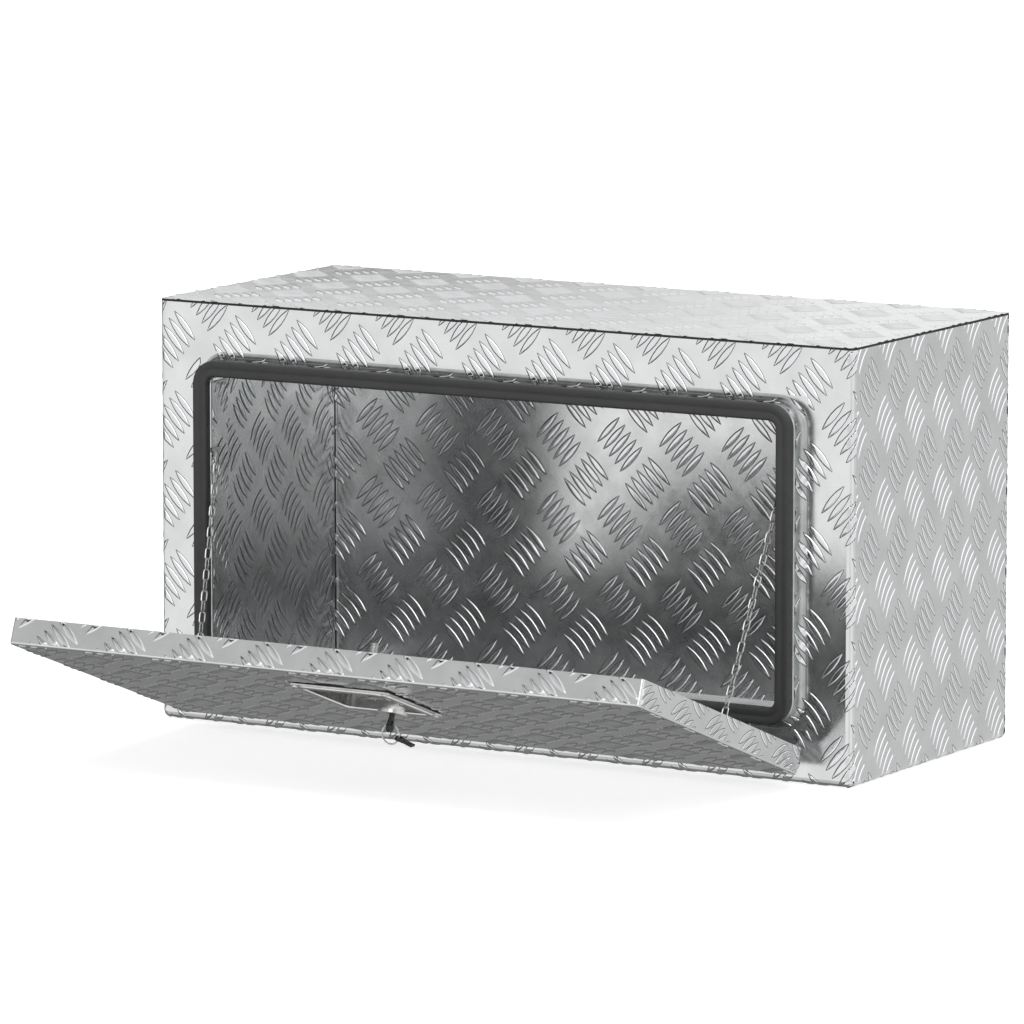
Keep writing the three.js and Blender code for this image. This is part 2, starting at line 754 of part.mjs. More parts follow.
// A run of links from one count to another; every second one is turned a quarter
function chainRun(sign, from, to) {
  const [top, bottom] = chainEnds(sign);
  const half = linkHalf(top.distanceTo(bottom));
  const down = bottom.clone().sub(top).normalize();
  const up = down.clone().negate();
  const side = new THREE.Vector3(1, 0, 0).addScaledVector(down, -down.x).normalize();
  const across = new THREE.Vector3().crossVectors(up, side);
  let run = null;
  for (let k = from; k < to; k++) {
    const edgeOn = k % 2 === 0;
    const basis = new THREE.Matrix4().makeBasis(
      edgeOn ? across : side, edgeOn ? side.clone().negate() : across, up);
    basis.setPosition(top.clone().addScaledVector(down, linkPlace(half, k)));
    const next = wireLoop(2 * half + linkWire, linkWidth, linkWire).transform(basis.elements);
    run = run === null ? next : run.add(next);
  }
  return run;
}

// The upper anchor: a thin T-shaped plate on the channel's inner face
function chainAnchor(sign) {
  const wall = innerHalfWidth - fit;
  const inner = wall - anchorPlateThickness;
  const span = sign > 0 ? [inner, wall] : [-wall, -inner];
  const headBack = frontY - anchorHeadBack;
  const headBottom = anchorHeight + anchorHeadBottom;
  const stemFront = frontY - anchorOut - anchorStemWidth / 2;
  const head = block(
    ...span, headBack - anchorHeadLength, headBack, headBottom, headBottom + anchorHeadHeight);
  const stem = block(
    ...span, stemFront, stemFront + anchorStemWidth, anchorHeight - anchorStemDrop, headBottom + seam);
  return head.add(stem);
}

// The lower eye: a foot on the door's inner face with a staple through the last link
function chainEye(sign) {
  const faceY = doorFaceY + sheet + fit;
  const eyeZ = doorBottomZ + eyeAboveDoorBottom;
  const eyeX = sign * (innerHalfWidth - eyeInset);
  const foot = block(
    eyeX - eyeFootWidth / 2, eyeX + eyeFootWidth / 2, faceY, faceY + eyeFootThickness,
    eyeZ - eyeFootLength / 2, eyeZ + eyeFootLength / 2);
  const crownY = doorFaceY + sheet + eyeStandOff + (linkWire + eyeWire) / 2 + eyePlay;
  const rootY = faceY + eyeFootThickness / 2;
  const loop = wireLoop(crownY - rootY + eyeWire, eyeLoopWidth, eyeWire);
  const basis = new THREE.Matrix4().makeBasis(
    new THREE.Vector3(0, 0, 1), new THREE.Vector3(1, 0, 0), new THREE.Vector3(0, 1, 0));
  basis.setPosition(eyeX, (crownY + rootY) / 2, eyeZ);
  return foot.add(loop.transform(basis.elements));
}

// Assembly
const group = new THREE.Group();
const shell = bodyShell();
group.add(named('front_panel', frontPanel(shell), treadPlate));
group.add(named('door_frame', doorFrame(), treadPlate));
group.add(named('left_side_panel', sidePanel(shell, -1), treadPlate));
group.add(named('right_side_panel', sidePanel(shell, 1), treadPlate));
group.add(named('back_panel', backPanel(shell), treadPlate));
group.add(named('bottom_panel', bottomPanel(shell), treadPlate));
group.add(named('top_panel', topPanel(), treadPlate));
const seal = doorSeal();
group.add(named('door_seal_top', sealAcross(seal, 1), rubber));
group.add(named('door_seal_bottom', sealAcross(seal, -1), rubber));
group.add(named('door_seal_left', sealAtSide(seal, -1), rubber));
group.add(named('door_seal_right', sealAtSide(seal, 1), rubber));

// Fixed half of the hinge, with its axis in place
const hinge = new THREE.Group();
hinge.position.set(0, hingeY, hingeZ);
hinge.add(named('hinge_body_leaf', hingeBodyLeaf(), brushed));
hinge.add(named('hinge_pin', hingePin(), darkSteel));
group.add(hinge);

// Door, turned open about the hinge axis
const door = new THREE.Group();
door.position.set(0, hingeY, hingeZ);
door.rotation.x = THREE.MathUtils.degToRad(doorOpenAngle);
door.add(named('door_pan', doorPan(), treadPlate));
door.add(named('hinge_door_leaf', hingeDoorLeaf(), brushed));
group.add(door);

// Latch, on the door face
const latch = new THREE.Group();
latch.position.set(latchSideOffset, doorFaceY, latchZ);
latch.add(named('latch_gasket', latchGasket(), rubber));
latch.add(named('latch_dish', latchDish(), stainless));
fixingPlaces().forEach(([x, z], k) => {
  const rivet = named(`latch_rivet_${k + 1}`, latchRivet(), stainless);
  rivet.position.set(x, 0, z);
  latch.add(rivet);
});
latch.add(named('handle_spindle', handleSpindle(), zinc));
latch.add(named('handle_pin', handlePin(), darkSteel));
latch.add(named('folding_handle', foldingHandle(), stainless));
latch.add(named('lock_cylinder', lockCylinder(), stainless));
latch.add(named('lock_plug', lockPlug(), zinc));
latch.add(named('spindle_nut', nut(dishBack + fit), zinc));
latch.add(named('cam_lower_nut', nut(lowerCamNutStart), zinc));
latch.add(named('cam_bar', camBar(), zinc));
latch.add(named('cam_upper_nut', nut(camHubFront + camThickness + fit), zinc));
door.add(latch);

// Key in the lock; its ring and the spare key hang straight down with the door open
const keyShape = keyBody(keySlotDepth - bladeThickness, bowWidth, bowLength, bowHoleInset);
const key = named('key', keyShape, keyPlastic);
key.position.set(crossbarOffset, discFront - seam, 0);
latch.add(key);

const ringHang = new THREE.Group();
const hangAngle = THREE.MathUtils.degToRad(-doorOpenAngle);
const holeY = discFront - seam - bowLength + bowHoleInset;
const hangOffset = bowHoleRadius - ringWire - 2 * fit;
const hangDirection = new THREE.Vector3(0, 0, -1).applyAxisAngle(new THREE.Vector3(1, 0, 0), hangAngle);
ringHang.position.set(crossbarOffset, holeY, 0).addScaledVector(hangDirection, hangOffset);
ringHang.rotation.x = hangAngle;
const ringGeometry = new THREE.TorusGeometry(ringRadius, ringWire, 6, 24);
ringGeometry.rotateX(Math.PI / 2);
const ring = named('key_ring', solid(ringGeometry), zinc);
ring.position.set(0, 0, -ringRadius);
ringHang.add(ring);

// The spare key points outwards from the ring, down to the right
const spareAngle = THREE.MathUtils.degToRad(spareKeyAngle);
const outward = new THREE.Vector3(Math.cos(spareAngle), 0, -Math.sin(spareAngle));
const spareShape = keyBody(bladeLength, spareBowWidth, spareBowLength, spareHoleInset);
const spare = named('spare_key', spareShape, keyPlastic);
spare.quaternion.setFromRotationMatrix(new THREE.Matrix4().makeBasis(
  outward.clone().cross(new THREE.Vector3(0, 1, 0)), outward, new THREE.Vector3(0, 1, 0)));
spare.position.copy(ring.position).addScaledVector(
  outward, ringRadius + hangOffset + spareBowLength - spareHoleInset);
ringHang.add(spare);
latch.add(ringHang);

// Chains and what holds them
for (const [name, sign] of [['left', -1], ['right', 1]]) {
  group.add(named(`chain_anchor_${name}`, chainAnchor(sign), zinc));
  door.add(named(`chain_eye_${name}`, chainEye(sign), zinc));
  group.add(named(`chain_upper_${name}`, chainRun(sign, 0, upperLinks), zinc));
  group.add(named(`chain_lower_${name}`, chainRun(sign, upperLinks, upperLinks + lowerLinks), zinc));
}

export default group;
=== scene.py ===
import math

import bmesh
import bpy
from mathutils import Matrix, Vector


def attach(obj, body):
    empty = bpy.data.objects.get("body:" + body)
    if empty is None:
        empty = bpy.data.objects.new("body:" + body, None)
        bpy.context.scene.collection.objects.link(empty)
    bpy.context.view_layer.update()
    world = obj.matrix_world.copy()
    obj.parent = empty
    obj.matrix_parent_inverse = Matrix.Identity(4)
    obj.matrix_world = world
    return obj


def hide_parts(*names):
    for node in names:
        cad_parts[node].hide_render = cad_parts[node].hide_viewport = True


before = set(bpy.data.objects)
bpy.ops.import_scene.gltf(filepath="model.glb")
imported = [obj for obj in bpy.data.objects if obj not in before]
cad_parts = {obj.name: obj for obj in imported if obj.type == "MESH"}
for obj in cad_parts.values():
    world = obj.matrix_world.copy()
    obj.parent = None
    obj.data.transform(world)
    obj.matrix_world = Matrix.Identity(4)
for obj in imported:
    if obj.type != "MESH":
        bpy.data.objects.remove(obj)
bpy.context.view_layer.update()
scene = bpy.context.scene

MM = 0.001

# Sizes of the body in millimetres, in the frame of the whole box
HALF_W = 381.0
HALF_D = 160.0
HEIGHT = 412.0
SHEET = 2.0
CORNER = 6.0
OPEN_HALF_W = 328.0
OPEN_LOW = 57.0
OPEN_HIGH = 358.0
OPEN_CORNER = 24.0
ROOT_BEND = 6.0
STAND_OUT = 16.0
LIP = 15.5
LIP_BEND = 3.0
RETURN_BACK = 15.0
SEAL = 8.7
# Clearance between neighbouring pieces
SEAM = 0.3
# The hinge's axis, and the half width and lower edge of the band that it covers
HINGE_Y = -163.2
HINGE_Z = 31.4
HINGE_HALF = 320.5
HINGE_LOW = 12.2
# The door in its own frame, shut, with the hinge's axis at the origin
DOOR_ANGLE = math.radians(69.9)
DOOR_HALF_W = 339.6
DOOR_LOW = 17.3
DOOR_HIGH = 333.1
DOOR_FACE = -25.6
DOOR_DEPTH = 26.0


# Helpers
def door_point(p):
    """A point of the door's own frame, where it lies with the door open."""
    x, y, z = p
    c, s = math.cos(DOOR_ANGLE), math.sin(DOOR_ANGLE)
    return (x, HINGE_Y + c * y - s * z, HINGE_Z + s * y + c * z)


def door_vector(v):
    """A direction of the door's own frame, with the door open."""
    x, y, z = v
    c, s = math.cos(DOOR_ANGLE), math.sin(DOOR_ANGLE)
    return (x, c * y - s * z, s * y + c * z)


def mesh_object(name, verts, *groups):
    """A mesh from millimetres; each group has a list of faces, their material and if they are smooth."""
    mesh = bpy.data.meshes.new(name)
    faces = [face for group in groups for face in group[0]]
    mesh.from_pydata([(x * MM, y * MM, z * MM) for x, y, z in verts], [], faces)
    numbers = [k for k, group in enumerate(groups) for _ in group[0]]
    mesh.polygons.foreach_set("use_smooth", [groups[k][2] for k in numbers])
    mesh.polygons.foreach_set("material_index", numbers)
    for _, material, _ in groups:
        mesh.materials.append(material)
    mesh.validate()
    mesh.update()
    obj = bpy.data.objects.new(name, mesh)
    scene.collection.objects.link(obj)
    return obj


# Materials
def principled(name, color, metallic, roughness):
    """A material with its tree and its shader."""
    material = bpy.data.materials.new(name)
    material.use_nodes = True
    shader = material.node_tree.nodes["Principled BSDF"]
    shader.inputs["Base Color"].default_value = (*color, 1)
    shader.inputs["Metallic"].default_value = metallic
    shader.inputs["Roughness"].default_value = roughness
    return material, material.node_tree, shader


def noise(tree, scale, detail=4.0, stretch=(1, 1, 1)):
    """A cloudy number from 0 to 1 that stays with the object."""
    coords = tree.nodes.new("ShaderNodeTexCoord")
    mapping = tree.nodes.new("ShaderNodeMapping")
    mapping.inputs["Scale"].default_value = stretch
    texture = tree.nodes.new("ShaderNodeTexNoise")
    texture.inputs["Scale"].default_value = scale
    texture.inputs["Detail"].default_value = detail
    tree.links.new(coords.outputs["Object"], mapping.inputs["Vector"])
    tree.links.new(mapping.outputs["Vector"], texture.inputs["Vector"])
    return texture.outputs["Fac"]


def ramp(tree, source, low, high, start=0.3, stop=0.7):
    """A number that goes from low to high as the source goes from start to stop."""
    node = tree.nodes.new("ShaderNodeMapRange")
    node.inputs["From Min"].default_value = start
    node.inputs["From Max"].default_value = stop
    node.inputs["To Min"].default_value = low
    node.inputs["To Max"].default_value = high
    tree.links.new(source, node.inputs["Value"])
    return node.outputs["Result"]


def color_mix(tree, source, low, high):
    """A colour that goes from low to high as the source goes from 0 to 1."""
    node = tree.nodes.new("ShaderNodeMix")
    node.data_type = "RGBA"
    tree.links.new(source, node.inputs["Factor"])
    node.inputs["A"].default_value = (*low, 1)
    node.inputs["B"].default_value = (*high, 1)
    return node.outputs["Result"]


def bump(tree, shader, source, strength, distance):
    """Fine relief on a shader, up to a distance in metres."""
    node = tree.nodes.new("ShaderNodeBump")
    node.inputs["Strength"].default_value = strength
    node.inputs["Distance"].default_value = distance
    tree.links.new(source, node.inputs["Height"])
    tree.links.new(node.outputs["Normal"], shader.inputs["Normal"])


WORN_SCALE = 2.3
GRAIN_SCALE = 260.0
GRAIN_DEPTH = 0.0004


def metal(name, low, high, rough_low, rough_high, scale=14.0, stretch=(1, 1, 1), relief=0.05):
    """Bare metal that varies in clouds between two colours and two roughnesses, with a fine grain."""
    material, tree, shader = principled(name, high, 1.0, rough_low)
    cloud = ramp(tree, noise(tree, scale, 6.0), 0, 1)
    tree.links.new(color_mix(tree, cloud, low, high), shader.inputs["Base Color"])
    grain = noise(tree, GRAIN_SCALE, 3.0, stretch)
    worn = ramp(tree, noise(tree, scale * WORN_SCALE, 5.0), rough_low, rough_high)
    tree.links.new(worn, shader.inputs["Roughness"])
    bump(tree, shader, grain, relief, GRAIN_DEPTH)
    return material


plate = metal("tread_plate", (0.72, 0.73, 0.73), (0.83, 0.84, 0.84), 0.14, 0.24, scale=26.0)
bar_metal = metal("tread_bars", (0.74, 0.75, 0.76), (0.84, 0.85, 0.86), 0.08, 0.15, scale=11.0, relief=0.03)
# Near black, for the dark line along the bars: painted shade and painted reflection at their foot
bar_foot_painted_shade = metal("bar_foot_painted_shade", (0.02, 0.02, 0.02), (0.06, 0.06, 0.06), 0.35, 0.5)
# The channel round the opening: a darker copy of the plate, painted shade
channel_painted_shade = metal("channel_painted_shade_metal", (0.40, 0.41, 0.41), (0.58, 0.59, 0.59), 0.26, 0.4,
                      scale=55.0, relief=0.15)
leaf_metal = metal("hinge_leaf", (0.66, 0.67, 0.68), (0.76, 0.77, 0.78), 0.26, 0.36,
                   scale=20.0, stretch=(1, 12, 12), relief=0.08)
stainless = metal("stainless", (0.70, 0.70, 0.69), (0.80, 0.80, 0.79), 0.16, 0.26, scale=30.0, relief=0.03)
zinc = metal("bright_zinc", (0.50, 0.51, 0.50), (0.66, 0.66, 0.65), 0.2, 0.34, scale=60.0)
dark_steel = metal("dark_steel", (0.30, 0.30, 0.29), (0.42, 0.42, 0.41), 0.3, 0.42, scale=40.0, relief=0.08)

rubber, tree, shader = principled("seal_rubber", (0.028, 0.028, 0.029), 0.0, 0.55)
tree.links.new(ramp(tree, noise(tree, 90.0, 5.0), 0.48, 0.62), shader.inputs["Roughness"])
blacks = color_mix(tree, noise(tree, 25.0, 4.0), (0.036, 0.036, 0.037), (0.052, 0.052, 0.053))
tree.links.new(blacks, shader.inputs["Base Color"])
bump(tree, shader, noise(tree, 700.0, 3.0), 0.15, 0.0002)

key_black, tree, shader = principled("key_head", (0.02, 0.02, 0.021), 0.0, 0.35)
tree.links.new(ramp(tree, noise(tree, 200.0, 4.0), 0.3, 0.45), shader.inputs["Roughness"])
bump(tree, shader, noise(tree, 900.0, 2.0), 0.1, 0.0002)

# Near black: painted shade on the top plate's edge and on the top bars' cut ends, and the colour of the
# dark inner corner seams
painted_shade_and_dark_seam, tree, shader = principled("painted_shade_and_dark_seam", (0.02, 0.02, 0.02), 0.0, 0.7)
bump(tree, shader, noise(tree, 500.0, 3.0), 0.2, 0.0002)

NODE_MATERIALS = {
    "front_panel": plate, "door_frame": plate, "left_side_panel": plate, "right_side_panel": plate,
    "back_panel": plate, "bottom_panel": plate, "top_panel": plate, "door_pan": plate,
    "hinge_body_leaf": leaf_metal, "hinge_door_leaf": leaf_metal, "hinge_pin": dark_steel,
    "handle_pin": dark_steel, "latch_gasket": rubber,
    "latch_dish": stainless, "folding_handle": stainless, "lock_cylinder": stainless,
    "key": key_black, "spare_key": key_black,
}


def node_material(name):
    """The material of a CAD node; most small parts are zinc plated."""
    if name.startswith("door_seal"):
        return rubber
    if name.startswith("latch_rivet"):
        return stainless
    return NODE_MATERIALS.get(name, zinc)


for name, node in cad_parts.items():
    node.data.materials.clear()
    node.data.materials.append(node_material(name))


# Raised tread bars
HALF_BAR_WIDTH = 3.7
BAR_HEIGHT = 0.65
BAR_SINK = 0.1
# Distance in from the edge of a bar's foot, and height; the foot is the first two strips
BAR_PROFILE = ((0.0, -BAR_SINK), (0.1, 0.03), (0.7, 0.03), (1.05, 0.42), (1.4, 0.6), (1.85, BAR_HEIGHT))
FOOT_STRIPS = 2
# Places of a group's bars, in steps from its middle
GROUP = range(-2, 3)
# Share of their height that bars lose in the middle of a panel's bend
PRESSED_FLAT = 0.75
# Stretches along a bar that stays flat, and along one that is folded
PLAIN_SPANS = 8
FOLDED_SPANS = 20
# Height of the bars' reach up the channel's wall, beyond its root bend
WALL_BARS = 6.8
WALL_ARC = ROOT_BEND * math.pi / 2
# The bars that are folded over the channel's root, as distances out from the opening on the flat sheet
ZONE_INNER = ROOT_BEND - WALL_ARC - WALL_BARS
ZONE_OUTER = ROOT_BEND + SEAM
# How near to an edge a point counts as on it, and how far beyond it a neighbour is looked for
ON_EDGE = 1e-5
BEYOND = 0.01
# Points of the bars nearer than this, in metres, are merged
MERGE = 0.00002
X, Y, Z = (1, 0, 0), (0, 1, 0), (0, 0, 1)
NX, NY, NZ = (-1, 0, 0), (0, -1, 0), (0, 0, -1)


def pattern(period, slash, backslash, half, step, painted_shade_feet=(True, True)):
    """Groups of five bars that lean one way or the other.

    period is the repeat, slash and backslash are the middle of one group of each kind, half is half a
    bar's reach, step leads from bar to bar, and the last says which kinds get a dark foot: painted shade
    and painted reflection.
    """
    a, b = half
    p, q = step
    kinds = ((slash, (a, b), (-p, q), painted_shade_feet[0]), (backslash, (a, -b), (p, q), painted_shade_feet[1]))
    return {"period": period, "kinds": kinds}


def bar_mesh(centre, half, spans):
    """Vertices (u, v, height) of one pointed bar, and its quads, each with whether it is in the foot."""
    length = math.hypot(*half)
    along = (half[0] / length, half[1] / length)
    across = (-along[1], along[0])
    radius = (length * length + HALF_BAR_WIDTH ** 2) / (2 * HALF_BAR_WIDTH)
    verts = []
    for i in range(spans + 1):
        t = -math.cos(math.pi * i / spans)
        reach = t * length
        width = math.sqrt(radius * radius - reach * reach) - radius + HALF_BAR_WIDTH
        for side in (-1, 1):
            rows = BAR_PROFILE if side < 0 else BAR_PROFILE[::-1]
            for inset, top in rows:
                fit_in = min(inset, width)
                height = -BAR_SINK + (top + BAR_SINK) * (fit_in / inset if inset else 1)
                offset = side * (width - fit_in)
                verts.append((centre[0] + along[0] * reach + across[0] * offset,
                              centre[1] + along[1] * reach + across[1] * offset, height))
    rows = 2 * len(BAR_PROFILE)
    quads = [((i * rows + j, (i + 1) * rows + j, (i + 1) * rows + j + 1, i * rows + j + 1),
              j < FOOT_STRIPS or j > rows - 2 - FOOT_STRIPS) for i in range(spans) for j in range(rows - 1)]
    return verts, quads


def repeats(start, stop, reach, base, period):
    """Numbers of the repeats of a bar at base that touch the stretch from start to stop."""
    first = math.ceil((start - reach - base) / period)
    last = math.floor((stop + reach - base) / period)
    return range(first, last + 1)


def bars(tread_pattern, u0, u1, v0, v1):
    """Centre, half reach, half size and whether the foot is painted dark as shade and reflection, of each
    bar that touches a rectangle.
    """
    period_u, period_v = tread_pattern["period"]
    for (gu, gv), half, (su, sv), painted_shade_foot in tread_pattern["kinds"]:
        reach_u = abs(half[0]) + HALF_BAR_WIDTH
        reach_v = abs(half[1]) + HALF_BAR_WIDTH
        for k in GROUP:
            bu, bv = gu + k * su, gv + k * sv
            columns = repeats(u0, u1, reach_u, bu, period_u)
            rows = repeats(v0, v1, reach_v, bv, period_v)
            for i in columns:
                for j in rows:
                    yield (bu + i * period_u, bv + j * period_v), half, (reach_u, reach_v), painted_shade_foot


def side_of(region, k, point):
    """How far a point lies to the left of a region's edge."""
    ax, ay = region[k]
    bx, by = region[(k + 1) % len(region)]
    return ((bx - ax) * (point[1] - ay) - (by - ay) * (point[0] - ax)) / math.hypot(bx - ax, by - ay)


def contains(region, point):
    """Whether a point lies in a convex region."""
    return all(side_of(region, k, point) >= 0 for k in range(len(region)))


def cut(poly, values):
    """The part of a polygon of (u, v, h) where the values given at its points are not negative."""
    out = []
    for i in range(len(poly)):
        j = (i + 1) % len(poly)
        if values[i] >= 0:
            out.append(poly[i])
        if (values[i] >= 0) != (values[j] >= 0):
            t = values[i] / (values[i] - values[j])
            out.append(tuple(a + t * (b - a) for a, b in zip(poly[i], poly[j])))
    return out if len(out) > 2 else []


def clip(poly, region):
    """Cuts a polygon of (u, v, h) to a convex region of (u, v) points going anticlockwise."""
    for k in range(len(region)):
        poly = cut(poly, [side_of(region, k, p) for p in poly])
    return poly


def cut_ends(face, region, regions, capped):
    """Small faces that close a bar where a region's outer edge has cut it."""
    for p, q in zip(face, face[1:] + face[:1]):
        middle = ((p[0] + q[0]) / 2, (p[1] + q[1]) / 2)
        for k in range(len(region)):
            if max(abs(side_of(region, k, p)), abs(side_of(region, k, q))) > ON_EDGE:
                continue
            (ax, ay), (bx, by) = region[k], region[(k + 1) % len(region)]
            length = math.hypot(bx - ax, by - ay)
            beyond = (middle[0] + BEYOND * (by - ay) / length, middle[1] - BEYOND * (bx - ax) / length)
            if capped(*middle) and not any(contains(other, beyond) for other in regions):
                yield [q, p, (p[0], p[1], -BAR_SINK), (q[0], q[1], -BAR_SINK)]


def always(u, v):
    return True


def never(u, v):
    return False


def tread(name, body, tread_pattern, regions, axes, capped=always, end_material=None):
    """Raised bars over the regions of one plane, closed where the plane's outer edge cuts them."""
    origin, axis_u, axis_v, normal = (Vector(v) for v in axes)
    verts, tops, painted_feet, ends = [], [], [], []

    def place(point):
        verts.append(tuple(origin + axis_u * point[0] + axis_v * point[1] + normal * point[2]))

    for region in regions:
        us, vs = [p[0] for p in region], [p[1] for p in region]
        for centre, half, size, painted_shade_foot in bars(tread_pattern, min(us), max(us), min(vs), max(vs)):
            points, quads = bar_mesh(centre, half, PLAIN_SPANS)
            corners = [(centre[0] + a * size[0], centre[1] + b * size[1]) for a in (-1, 1) for b in (-1, 1)]
            whole = all(contains(region, corner) for corner in corners)
            numbers = {}
            start = len(verts)
            if whole:
                for point in points:
                    place(point)

            def number(point):
                key = tuple(round(c, 3) for c in point)
                if key not in numbers:
                    numbers[key] = len(verts)
                    place(point)
                return numbers[key]

            for quad, is_foot in quads:
                # Foot strips of the kinds so marked take the near-black material: painted shade and
                # reflection
                group = painted_feet if is_foot and painted_shade_foot else tops
                if whole:
                    group.append([start + k for k in quad])
                    continue
                face = clip([points[k] for k in quad], region)
                if not face:
                    continue
                closing = [(end, ends) for end in cut_ends(face, region, regions, capped)]
                for poly, out in [(face, group)] + closing:
                    loop = list(dict.fromkeys(number(p) for p in poly))
                    if len(loop) > 2:
                        out.append(loop)
    if axis_u.cross(axis_v).dot(normal) < 0:
        tops, painted_feet, ends = ([face[::-1] for face in group] for group in (tops, painted_feet, ends))
    obj = mesh_object(name, verts, (tops, bar_metal, True), (painted_feet, bar_foot_painted_shade, True),
                      (ends, end_material or bar_metal, False))
    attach(obj, body)


def folded_tread(name, body, tread_pattern, window, distance, place, inner, outer, flip=False):
    """Raised bars over a bend, whose distance runs from inner to outer; place puts a point on the bend."""
    verts, tops, painted_feet = [], [], []
    for centre, half, _, painted_shade_foot in bars(tread_pattern, *window):
        reach = math.hypot(*half) + HALF_BAR_WIDTH
        if not inner - reach < distance(*centre) < outer + reach:
            continue
        points, quads = bar_mesh(centre, half, FOLDED_SPANS)
        numbers = {}
        for quad, is_foot in quads:
            face = [points[k] for k in quad]
            face = cut(face, [distance(u, v) - inner for u, v, _ in face])
            face = cut(face, [outer - distance(u, v) for u, v, _ in face])
            for point in face:
                if point not in numbers:
                    numbers[point] = len(verts)
                    verts.append(place(*point))
            if face:
                loop = [numbers[point] for point in face]
                # Foot strips of the kinds so marked take the near-black material: painted shade and
                # reflection
                group = painted_feet if is_foot and painted_shade_foot else tops
                group.append(loop[::-1] if flip else loop)
    obj = mesh_object(name, verts, (tops, bar_metal, True), (painted_feet, bar_foot_painted_shade, True))
    bm = bmesh.new()
    bm.from_mesh(obj.data)
    bmesh.ops.remove_doubles(bm, verts=bm.verts, dist=MERGE)
    bmesh.ops.dissolve_degenerate(bm, edges=bm.edges, dist=MERGE)
    loose = [v for v in bm.verts if not v.link_faces]
    bmesh.ops.delete(bm, geom=loose, context="VERTS")
    bm.to_mesh(obj.data)
    bm.free()
    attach(obj, body)


def box_region(u0, u1, v0, v1):
    """A rectangle as a region."""
    return [(u0, v0), (u1, v0), (u1, v1), (u0, v1)]


def rounded_region(half_u, half_v, radius, steps=3):
    """A rectangle about the origin with round corners."""
    out = []
    for quarter, (su, sv) in enumerate(((1, 1), (-1, 1), (-1, -1), (1, -1))):
        for k in range(steps + 1):
            a = (quarter + k / steps) * math.pi / 2
            u = su * (half_u - radius) + radius * math.cos(a)
            v = sv * (half_v - radius) + radius * math.sin(a)
            out.append((u, v))
    return out


def round_hole_regions(u0, u1, v0, v1, half_u, low, high, radius, steps=6):
    """A rectangle with a rounded rectangle cut out, as convex regions."""
    regions = [box_region(u0, -half_u, v0, v1), box_region(half_u, u1, v0, v1),
               box_region(-half_u, half_u, v0, low), box_region(-half_u, half_u, high, v1)]
    upper, lower = high - radius, low + radius
    for su, sv, cv in ((1, 1, upper), (-1, 1, upper), (-1, -1, lower), (1, -1, lower)):
        corner = (su * half_u, cv + sv * radius)
        arc = [(su * (half_u - radius + radius * math.cos(a)), cv + sv * radius * math.sin(a))
               for a in (math.pi / 2 * k / steps for k in range(steps + 1))]
        for p, q in zip(arc, arc[1:]):
            regions.append([p, q, corner] if su * sv > 0 else [q, p, corner])
    return regions


# Each pattern is placed as the photograph shows it, in the plane's own two directions
# A pattern's last setting says which kinds get the near-black foot, painted shade and reflection
front_pattern = pattern((70.0, 78.0), (-327.0, 411.2), (-294.8, 372.6), (12.53, 14.4), (6.35, 7.25))
back_pattern = pattern((70.0, 78.0), (21.8, 254.0), (53.3, 216.7), (13.2, 13.9), (6.45, 6.9))
side_pattern = pattern((57.0, 78.0), (-94.3, 334.0), (-126.8, 372.6), (10.25, 14.4), (5.3, 7.15),
                       painted_shade_feet=(False, True))
inner_side_pattern = pattern((58.0, 77.5), (20.3, 253.5), (-11.2, 216.4), (10.6, 13.9), (5.3, 6.9))
top_pattern = pattern((70.3, 74.0), (-293.5, 85.0), (-328.5, 120.0), (12.6, 13.6), (6.35, 6.9),
                      painted_shade_feet=(False, False))
door_pattern = pattern((74.6, 66.7), (-235.2, 254.6), (-272.5, 288.0), (13.8, 12.0), (6.9, 6.07))
rim_pattern = pattern((75.2, 66.7), (-257.9, 14.2), (-290.5, -20.4), (13.8, 12.0), (6.9, 6.07),
                      painted_shade_feet=(False, False))
rim_side_pattern = pattern((67.4, 66.7), (149.9, 6.3), (114.2, -20.3), (13.0, 9.4), (6.4, 4.8))

# Top of the walls, and where their flat parts end
HIGH = HEIGHT - SHEET - SEAM
FLAT_HALF = HALF_W - CORNER
SIDE_FLAT = HALF_D - CORNER
INNER_CORNER = CORNER - SHEET
hole = {"half_u": OPEN_HALF_W + ZONE_OUTER, "low": OPEN_LOW - ZONE_OUTER,
        "high": OPEN_HIGH + ZONE_OUTER, "radius": OPEN_CORNER + ZONE_OUTER}
# Stands for the distance to a bend that a panel doesn't have
NO_BEND = -1000.0


def bend(flat_half, core, radius, out, upright, to_world):
    """Distance and placing over a panel's rounded lower edge and, if upright, its rounded side edges."""
    def over(u, v):
        beside = abs(u) - flat_half if upright else NO_BEND
        return CORNER - v, beside

    def distance(u, v):
        return max(over(u, v))

    def place(u, v, h):
        low, beside = over(u, v)
        turn = max(0.0, min(max(low, beside) / radius, math.pi / 2))
        reach = radius + out * h * (1 - PRESSED_FLAT * math.sin(2 * turn))
        deep = core + reach * math.cos(turn)
        if beside >= low:
            side = 1 if u > 0 else -1
            across = side * (flat_half + min(beside, 0.0) + reach * math.sin(turn))
            return to_world(across, deep, max(CORNER, min(v, HIGH)))
        across = max(-flat_half, min(flat_half, u))
        return to_world(across, deep, CORNER - min(low, 0.0) - reach * math.sin(turn))

    return distance, place


